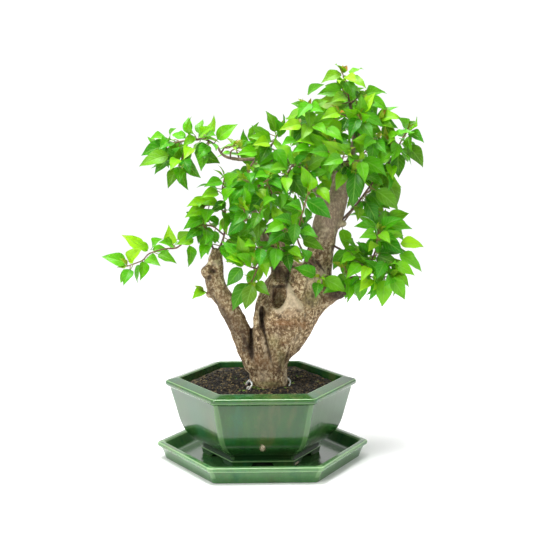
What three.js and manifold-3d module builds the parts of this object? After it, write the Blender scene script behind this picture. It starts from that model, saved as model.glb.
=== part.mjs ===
// Bougainvillea bonsai in a hexagonal glazed pot on its saucer.
// Millimetres, +Z up, front towards -Y. The origin is on the table, under the middle of the pot.
import * as THREE from "three";
import { mergeVertices } from "three/addons/utils/BufferGeometryUtils.js";
import Module from "manifold-3d";

const wasm = await Module();
wasm.setup();

// Driving dimensions
const clearance = 0.3; // between pieces that touch
const shortestEdge = 0.005; // what a join may merge
const mergeSteps = [0, 0.01, 0.02, 0.05, 0.1]; // corners nearer than this may become one
const gridSteps = [0.002, 0.003, 0.004, 0.006, 0.008, 0.011, 0.015, 0.02]; // for the corners
const rimRadius = 100; // pot rim, centre to corner, which sets the scale of everything else
const saucerRadius = 1.108 * rimRadius;
const saucerShift = 1.7; // the saucer stands a little to the right of the pot
const saucerFloor = 5;
const saucerRimHeight = 17.6;
const footBottom = saucerFloor + clearance;
const footHeight = 5.4;
const footRadius = 62;
const potFloor = 18; // inside the pot
const rimBand = 15; // rim width, along a corner
const drainRadius = 7;
const soilLevel = 77;
const cornerSteps = 2; // points round each corner of the hexagons
const tieRadius = 0.9;

// The tree is read from the front as (across, up) at the depth of the trunk.
// The eye stands this far in front, so a point at another depth lies on the same line of sight.
const eye = new THREE.Vector3(-35.8, -1247.5, 380);

const leafThickness = 1.2; // at the midrib, thinning to the edges
const leafFold = 0.2; // rise of each edge, as a share of its distance from the midrib
const leafArch = 0.08; // height of the arch along the midrib, as a share of the leaf's length
const leafWidthShare = 0.7; // width over length
const cornerOut = 1.06; // corners of the faceted outline lie a little outside the smooth one
const leafReach = 25; // least true length of a leaf that is read foreshortened
const petiole = 7;
const budSpacing = 1.7;
const petioleWidth = 1.4;
const leastBend = -0.1; // cosine of the sharpest turn from petiole to blade
const twigWidth = 2.6;
const clearOfLeaf = 2.3; // least distance kept between the middles of two blades
const crownMiddleX = 35;
const attempts = 14; // draws for a leaf that finds no room
const fillingLeaves = 120;
const drawsPerLeaf = 360;
const lossOutside = -2;
const leastGain = -30; // of a leaf at the back, over the 70 points of its blade
const goldenAngle = THREE.MathUtils.degToRad(137.5);

// Solids

function toSolid(geometry) {
  const bare = geometry.clone();
  for (const name of Object.keys(bare.attributes)) {
    if (name !== "position") bare.deleteAttribute(name);
  }
  const merged = mergeVertices(bare, 1e-4);
  const mesh = new wasm.Mesh({
    numProp: 3,
    vertProperties: new Float32Array(merged.attributes.position.array),
    triVerts: new Uint32Array(merged.index.array),
    tolerance: shortestEdge,
  });
  return new wasm.Manifold(mesh);
}

// The solid's faces, with every corner moved to a grid of the given step.
function facesOnGrid(solid, step) {
  const { vertProperties, triVerts } = solid.getMesh();
  const snapped = vertProperties.map((value) => Math.round(value / step) * step);
  const geometry = new THREE.BufferGeometry();
  geometry.setAttribute("position", new THREE.BufferAttribute(snapped, 3));
  geometry.setIndex(new THREE.BufferAttribute(triVerts, 1));
  const merged = mergeVertices(geometry, step / 4);
  const corners = merged.index.array;
  const kept = [];
  for (let i = 0; i < corners.length; i += 3) {
    const [a, b, c] = corners.slice(i, i + 3);
    if (a !== b && b !== c && c !== a) kept.push(a, b, c);
  }
  merged.setIndex(kept);
  return merged;
}

// True where each edge is met by two faces that run along it in opposite directions.
function isClosed(geometry) {
  const corners = geometry.index.array;
  const edges = new Set();
  for (let i = 0; i < corners.length; i++) {
    const next = i % 3 === 2 ? i - 2 : i + 1;
    const edge = corners[i] + "," + corners[next];
    if (edges.has(edge)) return false;
    edges.add(edge);
  }
  return [...edges].every((edge) => edges.has(edge.split(",").reverse().join()));
}

// Corners closer than the grid can part are merged first, by a little more each time.
function toMesh(solid, name, material) {
  let geometry = null;
  for (const nearness of mergeSteps) {
    const shape = nearness ? solid.simplify(nearness) : solid;
    const step = gridSteps.find((size) => isClosed(facesOnGrid(shape, size)));
    if (step) {
      geometry = facesOnGrid(shape, step);
      break;
    }
  }
  if (!geometry) throw new Error(name + " has corners too close together");
  geometry.computeVertexNormals();
  const mesh = new THREE.Mesh(geometry, material);
  mesh.name = name;
  return mesh;
}

function joined(solids) {
  return solids.reduce((whole, solid) => whole.add(solid));
}

function largestBody(solid) {
  const bodies = solid.decompose();
  return bodies.reduce((best, body) => (body.volume() > best.volume() ? body : best));
}

// A skin over rings of points, from the first ring to the last. A ring of one point closes an end,
// a longer end ring is closed flat, and a closed loop joins the last ring to the first.
// Alternate diagonals keep the two faces of a folded blade split alike.
function loft(rings, { loop = false, alternate = false } = {}) {
  const points = [];
  const starts = rings.map((ring) => {
    points.push(...ring);
    return points.length - ring.length;
  });
  const faces = [];
  const bands = loop ? rings.length : rings.length - 1;
  for (let r = 0; r < bands; r++) {
    const next = (r + 1) % rings.length;
    const count = Math.max(rings[r].length, rings[next].length);
    for (let i = 0; i < count; i++) {
      const j = (i + 1) % count;
      const low = (k) => starts[r] + (rings[r].length === 1 ? 0 : k);
      const high = (k) => starts[next] + (rings[next].length === 1 ? 0 : k);
      if (alternate && i % 2) {
        faces.push([low(i), low(j), high(i)], [low(j), high(j), high(i)]);
      } else {
        faces.push([low(i), low(j), high(j)], [low(i), high(j), high(i)]);
      }
    }
  }
  if (!loop) {
    const last = rings.length - 1;
    for (let i = 1; i < rings[0].length - 1; i++) {
      faces.push([starts[0], starts[0] + i + 1, starts[0] + i]);
    }
    for (let i = 1; i < rings[last].length - 1; i++) {
      faces.push([starts[last], starts[last] + i, starts[last] + i + 1]);
    }
  }
  const apart = (a, b) => a !== b && !points[a].equals(points[b]);
  const whole = faces.filter(([a, b, c]) => apart(a, b) && apart(b, c) && apart(c, a));
  let volume = 0;
  for (const [a, b, c] of whole) {
    volume += points[a].dot(points[b].clone().cross(points[c]));
  }
  const turned = volume < 0 ? whole.map(([a, b, c]) => [a, c, b]) : whole;
  const geometry = new THREE.BufferGeometry().setFromPoints(points);
  geometry.setIndex(turned.flat());
  return geometry;
}

// A hexagon with a corner to each side along X, every corner rounded by an arc.
function hexRing(radius, z, rounding, centreX = 0) {
  const ring = [];
  const inset = radius - (rounding * 2) / Math.sqrt(3);
  for (let corner = 0; corner < 6; corner++) {
    const towards = (corner * Math.PI) / 3;
    for (let step = 0; step < cornerSteps; step++) {
      const angle = towards + (step / (cornerSteps - 1) - 0.5) * (Math.PI / 3);
      ring.push(
        new THREE.Vector3(
          centreX + inset * Math.cos(towards) + rounding * Math.cos(angle),
          inset * Math.sin(towards) + rounding * Math.sin(angle),
          z,
        ),
      );
    }
  }
  return ring;
}

// A tube along a smooth curve. Each stop is [point, width, depth]; width lies across the view from
// the front and depth along it.
function tube(stops, sides, stations, fatter = 0) {
  const curve = new THREE.CatmullRomCurve3(stops.map(([point]) => point));
  const rings = [];
  let across = null;
  for (let s = 0; s <= stations; s++) {
    const t = s / stations;
    const place = t * (stops.length - 1);
    const k = Math.min(Math.floor(place), stops.length - 2);
    const mix = place - k;
    const width = THREE.MathUtils.lerp(stops[k][1], stops[k + 1][1], mix) / 2 + fatter;
    const depth = THREE.MathUtils.lerp(stops[k][2], stops[k + 1][2], mix) / 2 + fatter;
    const along = curve.getTangent(t);
    const longer = s === 0 ? -fatter : s === stations ? fatter : 0;
    const centre = curve.getPoint(t).addScaledVector(along, longer);
    if (!across) across = new THREE.Vector3(0, 1, 0).cross(along);
    across.addScaledVector(along, -across.dot(along)).normalize();
    const inward = along.clone().cross(across);
    const ring = [];
    for (let i = 0; i < sides; i++) {
      const angle = (i * 2 * Math.PI) / sides;
      ring.push(
        centre
          .clone()
          .addScaledVector(across, width * Math.cos(angle))
          .addScaledVector(inward, depth * Math.sin(angle)),
      );
    }
    rings.push(ring);
  }
  return loft(rings);
}

// The point that is seen at (across, up) and lies at the given depth.
function seen(across, up, depth = 0) {
  const share = 1 - depth / eye.y;
  return new THREE.Vector3(
    eye.x + share * (across - eye.x),
    depth,
    eye.z + share * (up - eye.z),
  );
}

// Saucer: a shallow hexagonal tray with a flat rolled rim

function makeSaucer() {
  const r = saucerRadius;
  const profile = [
    [r - 9.3, 0, 5],
    [r - 7, 6.5, 5],
    [r - 4.2, 11.5, 5],
    [r - 0.9, 13.2, 6],
    [r, 15.3, 6],
    [r - 0.8, saucerRimHeight, 6],
    [r - 6.5, saucerRimHeight + 0.4, 5],
    [r - 8.5, saucerRimHeight - 1, 5],
    [r - 13, 9, 5],
    [r - 16, saucerFloor + 0.4, 5],
    [r - 22, saucerFloor, 5],
  ];
  const rings = profile.map(([radius, z, rounding]) => hexRing(radius, z, rounding, saucerShift));
  const solid = toSolid(loft(rings));
  return toMesh(solid, "saucer", glaze(0x5e8a5f));
}

// Pot: bowl-sided hexagon with a broad outward-sloping rim, a ledge and six corner feet

const bowlOutside = [
  [footRadius + 0.9, 11.8, 2.5],
  [footRadius - 1.2, 12.8, 2.5],
  [footRadius + 0.8, 16.5, 2.5],
  [72.5, 22.5, 2.5],
  [80.5, 30, 2.5],
  [85.6, 41, 2.5],
  [88.8, 53, 2.5],
  [92.2, 65, 2.5],
  [95.6, 76.5, 2.5],
];
const bowlInside = [
  [rimRadius - rimBand, 85.4, 3],
  [rimRadius - rimBand - 0.8, 77, 3],
  [83, 62, 3],
  [77.5, 42, 3],
  [67.5, 25, 3],
  [54, potFloor, 3],
];
const rimProfile = [
  [rimRadius - 2.2, 77.2, 3],
  [rimRadius - 0.3, 78.6, 4],
  [rimRadius, 81.4, 4],
  [rimRadius - 1.2, 83.2, 4],
  [rimRadius - rimBand + 1.2, 86, 3],
];

function makePot() {
  const footTop = footBottom + footHeight;
  const profile = [
    [footRadius + 0.6, footTop, 2.5],
    ...bowlOutside,
    ...rimProfile,
    ...bowlInside,
  ];
  const body = toSolid(loft(profile.map((row) => hexRing(...row))));
  const footInner = footRadius - 13;
  const footRing = [
    [footRadius - 0.6, footBottom, 2.5],
    [footRadius, footTop + 0.8, 2.5],
    [footInner + 2, footTop + 0.8, 2.5],
    [footInner, footBottom, 2.5],
  ];
  const feet = toSolid(loft(footRing.map((row) => hexRing(...row)), { loop: true }));

  // The gaps between the feet widen downwards, one in the middle of each side.
  const notchOutline = new THREE.Shape([
    new THREE.Vector2(-12.5, -1),
    new THREE.Vector2(12.5, -1),
    new THREE.Vector2(7.5, footHeight),
    new THREE.Vector2(-7.5, footHeight),
  ]);
  const notch = new THREE.ExtrudeGeometry(notchOutline, {
    depth: footRadius * 2,
    bevelEnabled: false,
  });
  notch.rotateX(Math.PI / 2);
  notch.translate(0, footRadius, footBottom);
  const notches = [0, 1, 2].map((k) => toSolid(notch.clone().rotateZ((k * Math.PI) / 3)));

  const drain = new THREE.CylinderGeometry(drainRadius, drainRadius, 40, 12);
  drain.rotateX(Math.PI / 2);
  const solid = body.add(feet.subtract(joined(notches))).subtract(toSolid(drain));
  return toMesh(solid, "pot", glaze(0x4d7f52));
}

// Wood: every limb is a list of stops [across, up, depth, width, thickness]

const limbs = {
  bole: {
    sides: 12,
    stations: 12,
    stops: [
      [9, 48, 0, 34, 30],
      [8, 70, 0, 30, 30],
      [8, 80, 0, 38, 35],
      [7, 91, 0, 41, 37],
      [6, 102, 0, 45, 38],
      [9, 113, 0, 46, 40],
      [16, 127, 0, 54, 44],
      [22, 141, 0, 61, 47],
      [26, 155, 1, 66, 48],
      [32, 168, 2, 65, 47],
      [38, 181, 3, 62, 44],
      [41, 194, 3, 59, 40],
      [43, 203, 3, 48, 34],
    ],
  },
  leader: {
    sides: 10,
    stations: 9,
    stops: [
      [48, 176, 3, 38, 36],
      [56, 196, 4, 32, 32],
      [60, 212, 5, 27, 27],
      [63, 228, 6, 27, 26],
      [66, 243, 7, 28, 26],
      [72, 258, 7, 27, 25],
      [78, 272, 7, 21, 21],
      [81, 286, 7, 18, 18],
      [85, 303, 7, 16, 16],
    ],
  },
  leftBranch: {
    sides: 10,
    stations: 9,
    stops: [
      [-5, 96, 0, 24, 26],
      [-12, 112, -1, 23, 24],
      [-18, 127, -1, 21, 22],
      [-24, 142, -1, 20, 21],
      [-32, 157, -1, 19.5, 20],
      [-41, 172, -1, 19, 19],
      [-48, 186, 0, 20, 19],
      [-47, 200, 0, 17, 17],
      [-45, 220, 0, 12, 12],
    ],
  },
  rightStump: {
    sides: 10,
    stations: 4,
    stops: [
      [48, 152, 0, 24, 26],
      [64, 165, -1, 17, 18],
      [78, 176, -3, 19, 19],
      [90, 181.5, -6, 18, 17],
    ],
  },
  innerBranch: {
    sides: 7,
    stations: 6,
    stops: [
      [22, 192, 8, 18, 18],
      [12, 212, 10, 12, 12],
      [4, 230, 11, 10, 10],
      [-3, 247, 12, 8, 8],
      [-8, 264, 13, 6, 6],
      [-8, 284, 14, 4, 4],
    ],
  },
  shelfBranch: {
    sides: 6,
    stations: 10,
    stops: [
      [70, 262, 6, 9, 9],
      [60, 273, 4, 7, 7],
      [51, 286, 2, 6, 6],
      [46, 297, 1, 5.5, 5.5],
      [36, 307, 1, 5, 5],
      [18, 310, 2, 4.6, 4.6],
      [-4, 311, 3, 4.2, 4.2],
      [-24, 311, 2, 4, 4],
      [-38, 315, 1, 3.6, 3.6],
      [-45, 326, 0, 3.2, 3.2],
    ],
  },
  crownBranch: {
    sides: 6,
    stations: 4,
    stops: [
      [84, 298, 5, 9, 9],
      [76, 314, 2, 7, 7],
      [66, 328, 0, 6, 6],
      [58, 342, -2, 4.4, 4.4],
    ],
  },
  crownLeader: {
    sides: 6,
    stations: 5,
    stops: [
      [86, 298, 9, 9, 9],
      [92, 316, 8, 7, 7],
      [95, 334, 6, 6, 6],
      [93, 350, 4, 5, 5],
      [90, 366, 2, 3.6, 3.6],
    ],
  },
  backBranch: {
    sides: 6,
    stations: 5,
    stops: [
      [70, 240, 14, 12, 12],
      [74, 258, 26, 8, 8],
      [76, 278, 36, 6.5, 6.5],
      [72, 300, 42, 5.5, 5.5],
      [66, 322, 46, 4, 4],
    ],
  },
  backLow: {
    sides: 6,
    stations: 4,
    stops: [
      [30, 196, 14, 12, 12],
      [24, 214, 26, 8, 8],
      [20, 234, 36, 6.5, 6.5],
      [18, 256, 42, 5, 5],
    ],
  },
};

// Swellings and scars, as balls [across, up, depth, half width, half depth, half height]
const knobs = [
  [-52.5, 196, -2, 8.5, 9.5, 9.5],
  [-52, 173, -2, 4, 4, 4],
  [82, 245, 5, 5, 4.5, 3.5],
  [25, 151, -15, 15, 8, 8],
  [50, 167, -12, 13, 10, 11],
  [64, 193, -1, 8, 9, 9],
  [12, 116, -9, 12, 10, 12],
];
const rib = [
  [6, 104, -14, 9, 10],
  [-1, 122, -16, 9, 10],
  [-4, 138, -15, 8.5, 10],
  [-4, 152, -12, 8, 10],
  [3, 168, -10, 7, 9],
];
const hollows = [
  [21.5, 169, -25, 9, 12, 12],
  [28, 188, -24, 6.5, 9, 13],
  [24, 205, -10, 12, 18, 9],
  [42, 211, -8, 10, 20, 5],
  [0.5, 147, -20, 2.2, 6, 12],
];

function limbStops(stops) {
  return stops.map(([across, up, depth, width, thickness]) => [
    seen(across, up, depth),
    width,
    thickness,
  ]);
}

function ball([across, up, depth, halfWidth, halfDepth, halfHeight], fatter = 0) {
  const geometry = new THREE.IcosahedronGeometry(1, halfWidth > 6 ? 1 : 0);
  geometry.scale(halfWidth + fatter, halfDepth + fatter, halfHeight + fatter);
  const at = seen(across, up, depth);
  geometry.translate(at.x, at.y, at.z);
  return toSolid(geometry);
}

function makeWood(fatter = 0) {
  const solids = Object.values(limbs).map(({ sides, stations, stops }) =>
    toSolid(tube(limbStops(stops), sides, stations, fatter)),
  );
  solids.push(toSolid(tube(limbStops(rib), 7, 6, fatter)));
  solids.push(...knobs.map((knob) => ball(knob, fatter)));
  return joined(solids);
}

// Anchor tie: a cord round the foot of the trunk, half sunk in the soil, with a knot

const tieStops = [
  [-15, -5, 80.6],
  [-12.6, -8.5, 78.6],
  [-11.4, -10.5, 75.6],
  [-8.4, -15.5, 73.6],
  [4, -20, 72.6],
  [18, -19, 72.8],
  [26.6, -10, 75.4],
  [29.6, -1, 79.4],
  [27, 10, 81.4],
  [17, 19, 81.8],
  [4, 20.5, 81.6],
  [-7, 15, 81],
  [-13.4, 5, 79.4],
  [-15, -4, 76.4],
  [-14, -9, 74.6],
];

function makeTie(radius) {
  const stops = tieStops.map(([x, y, z]) => [new THREE.Vector3(x, y, z), radius * 2, radius * 2]);
  const knot = new THREE.OctahedronGeometry(1, 1);
  const knotSize = radius * 2.4;
  knot.scale(knotSize, knotSize, knotSize * 0.85);
  knot.translate(-13.4, -9.6, 74.8);
  return toSolid(tube(stops, 4, 18)).add(toSolid(knot));
}

// Soil: fills the pot and lies a little higher at the back and round the trunk

function soilHeight(x, y) {
  const nearTrunk = Math.exp(-((x - 8) ** 2 + y * y) / 900);
  const lumps = Math.sin(x * 0.21 + 1) * Math.cos(y * 0.17) * 0.5;
  return soilLevel + 0.035 * y + 2 * nearTrunk + lumps;
}

function makeSoil(wood, tie) {
  const inset = (clearance * 2) / Math.sqrt(3);
  const wall = bowlInside.slice(1, -1).reverse();
  const rings = [hexRing(bowlInside.at(-1)[0] - inset, potFloor + clearance, 3)];
  for (const [radius, z, rounding] of wall) {
    if (z < soilLevel - 8) rings.push(hexRing(radius - inset, z, rounding));
  }
  const top = bowlInside[1][0] - 0.8 - inset;
  for (const share of [1, 0.74, 0.42]) {
    const ring = hexRing(top * share, 0, 3 * share);
    for (const point of ring) point.z = soilHeight(point.x, point.y);
    rings.push(ring);
  }
  rings.push([new THREE.Vector3(0, 0, soilHeight(0, 0))]);
  const solid = toSolid(loft(rings)).subtract(wood).subtract(tie);
  return toMesh(largestBody(solid), "soil", matt(0x33281e));
}

// Leaves

// Draws from one fixed sequence, the same on any machine.
function drawsFrom(seed) {
  let state = seed;
  return () => {
    state = (state * 16807) % 2147483647;
    return state / 2147483647;
  };
}

// Half width at a share t of the way from the blade's base to its drawn-out tip.
function halfWidth(leaf, t) {
  return (leaf.width / 2) * Math.sin(Math.PI * t ** 0.62) * (1 - 0.25 * t ** 3);
}

// The blade's middle line is an arch; side and face are square to it.
function bladeAt(leaf, t) {
  const { base, tip, face } = leaf;
  const reach = base.distanceTo(tip);
  const crown = base.clone().add(tip).multiplyScalar(0.5).addScaledVector(face, 2 * leafArch * reach);
  const centre = base
    .clone()
    .multiplyScalar((1 - t) ** 2)
    .addScaledVector(crown, 2 * t * (1 - t))
    .addScaledVector(tip, t * t);
  const along = crown.clone().sub(base).multiplyScalar(1 - t);
  along.addScaledVector(tip.clone().sub(crown), t).normalize();
  const up = face.clone().addScaledVector(along, -face.dot(along)).normalize();
  const side = along.clone().cross(up);
  return { centre, side, up };
}

function diamond({ centre, side, up }, half, thick) {
  const lift = half * leafFold;
  return [
    centre.clone().addScaledVector(side, -half).addScaledVector(up, lift),
    centre.clone().addScaledVector(up, thick / 2),
    centre.clone().addScaledVector(side, half).addScaledVector(up, lift),
    centre.clone().addScaledVector(up, -thick / 2),
  ];
}

function leafSolid(leaf) {
  const start = bladeAt(leaf, 0);
  const stalk = (centre, half) => {
    const [left, top, right] = diamond({ ...start, centre }, half, 2 * half);
    return [left, top, right, left];
  };
  const rings = [
    stalk(leaf.root, petioleWidth * 0.4),
    stalk(leaf.base, petioleWidth / 2),
    diamond(bladeAt(leaf, 0.32), halfWidth(leaf, 0.32) * cornerOut, leafThickness),
    diamond(bladeAt(leaf, 0.68), halfWidth(leaf, 0.68) * cornerOut, leafThickness),
    [leaf.tip],
  ];
  return toSolid(loft(rings, { alternate: true }));
}

// A point at a share t along the blade and s across it, from -1 at one edge to 1 at the other.
function bladePoint(leaf, t, s) {
  const { centre, side, up } = bladeAt(leaf, t);
  const half = halfWidth(leaf, t);
  return centre.addScaledVector(side, half * s).addScaledVector(up, half * Math.abs(s) * leafFold);
}

// Points spread over a blade and its petiole, for telling whether two leaves meet.
function leafPoints(leaf) {
  const stalk = [0.35, 0.65, 0.95].map((share) => leaf.root.clone().lerp(leaf.base, share));
  const blade = [];
  for (let i = 1; i <= 10; i++) {
    for (const s of [-1, -0.66, -0.33, 0, 0.33, 0.66, 1]) blade.push(bladePoint(leaf, i / 10, s));
  }
  return { stalk, blade, all: [...stalk, ...blade] };
}

// A leaf read from the front: tip and base at (across, up), with the depth of its base.
// One that looks short leans towards the viewer in front of the trunk and away behind it.
function readLeaf([tipAcross, tipUp, baseAcross, baseUp, depth, lean = 1], shift) {
  const short = Math.hypot(tipAcross - baseAcross, tipUp - baseUp);
  const away = Math.sqrt(Math.max(0, leafReach ** 2 - short ** 2)) * 0.8;
  const towards = depth > 12 ? 1 : -1;
  const base = seen(baseAcross, baseUp, depth + shift);
  const tip = seen(tipAcross, tipUp, depth + shift + away * towards * lean);
  return { base, tip };
}

function faceOf(base, tip, hint) {
  const along = tip.clone().sub(base).normalize();
  return hint.clone().addScaledVector(along, -hint.dot(along)).normalize();
}

// The crown's outline from the front, at (across, up), and the gaps that the sky shows through.
const crownOutline = [
  [-163, 211], [-145, 214], [-125, 221], [-143, 235], [-126, 235], [-118, 228], [-104, 232],
  [-96, 228], [-95, 242], [-81, 242], [-70, 251], [-78, 251], [-65, 256], [-75, 261], [-68, 270],
  [-60, 272], [-59, 281], [-50, 293], [-47, 303], [-60, 300], [-72, 296], [-77, 300], [-83, 288],
  [-92, 302], [-94, 308], [-111, 296], [-119, 298], [-124, 304], [-112, 313], [-96, 317],
  [-122, 315], [-108, 332], [-98, 336], [-88, 341], [-68, 334], [-60, 342], [-48, 344], [-46, 336],
  [-24, 346], [-38, 331], [-38, 325], [-25, 325], [-13, 328], [-11, 335], [5, 336], [15, 352],
  [22, 348], [30, 356], [35, 371], [48, 381], [57, 386], [76, 401], [82, 406], [93, 403],
  [100, 395], [106, 385], [118, 372], [119, 362], [128, 360], [145, 353], [118, 348], [127, 334],
  [131, 341], [133, 347], [150, 345], [158, 340], [166, 325], [163, 310], [167, 301], [144, 314],
  [137, 309], [146, 303], [135, 290], [140, 284], [141, 262], [119, 268], [125, 250], [135, 251],
  [156, 239], [145, 240], [149, 231], [170, 221], [145, 217], [163, 208], [167, 193], [158, 200],
  [158, 191], [153, 195], [154, 180], [144, 186], [150, 165], [132, 171], [125, 157], [117, 170],
  [101, 162], [97, 174], [86, 166], [60, 150], [-8, 150], [-3, 163], [-20, 153], [-33, 154],
  [-25, 174], [-22, 194], [-6, 206], [-6, 214], [-10, 227], [-16, 228], [-17, 212], [-34, 209],
  [-46, 210], [-63, 208], [-57, 222], [-47, 224], [-63, 230], [-77, 221], [-98, 217], [-119, 203],
  [-130, 204], [-133, 192], [-141, 181], [-146, 192], [-143, 206],
];
const crownGaps = [
  [
    [86, 250], [90, 261], [98, 258], [98, 244], [115, 238], [115, 230], [100, 233], [88, 226],
    [75, 222],
  ],
  [[72, 188], [71, 200], [73, 214], [83, 209], [84, 202], [88, 200], [85, 187]],
  [
    [-37, 319], [-26, 316], [-24, 311], [-37, 311], [-40, 304], [-30, 292], [-22, 300],
    [-12, 309], [-30, 311],
  ],
];

// The view from the front, in cells of 1 mm
const view = { left: -178, bottom: 60, columns: 366, rows: 370 };

function seenFrom(point) {
  const share = 1 - point.y / eye.y;
  return [eye.x + (point.x - eye.x) / share, eye.z + (point.z - eye.z) / share];
}

function cellAt(point) {
  const [across, up] = seenFrom(point);
  return Math.round(up - view.bottom) * view.columns + Math.round(across - view.left);
}

function isInside(outline, across, up) {
  let odd = false;
  outline.forEach(([a, u], i) => {
    const [b, v] = outline[(i + 1) % outline.length];
    if (u > up !== v > up && across < a + ((up - u) / (v - u)) * (b - a)) odd = !odd;
  });
  return odd;
}

// What a leaf gains in each cell that it hides: something in the crown, a loss outside it.
function gainByCell() {
  const gains = new Int8Array(view.columns * view.rows);
  for (let row = 0; row < view.rows; row++) {
    for (let column = 0; column < view.columns; column++) {
      const at = [view.left + column, view.bottom + row];
      const open = crownGaps.some((gap) => isInside(gap, ...at));
      const gain = isInside(crownOutline, ...at) && !open ? 1 : lossOutside;
      gains[row * view.columns + column] = gain;
    }
  }
  return gains;
}

function hideDisc(gains, { at, radius }) {
  const middle = cellAt(at);
  for (let row = -Math.floor(radius); row <= radius; row++) {
    for (let column = -Math.floor(radius); column <= radius; column++) {
      const cell = middle + row * view.columns + column;
      if (Math.hypot(row, column) <= radius) gains[cell] = Math.min(gains[cell], 0);
    }
  }
}

function hideLeaf(gains, leaf) {
  for (let t = 0; t <= 1; t += 0.04) {
    for (let s = -1; s <= 1; s += 0.1) {
      const cell = cellAt(bladePoint(leaf, t, s));
      gains[cell] = Math.min(gains[cell], 0);
    }
  }
}

// Sprays: twigs as stops [across, up, depth], leaves as read, and how many more grow by rule

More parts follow.
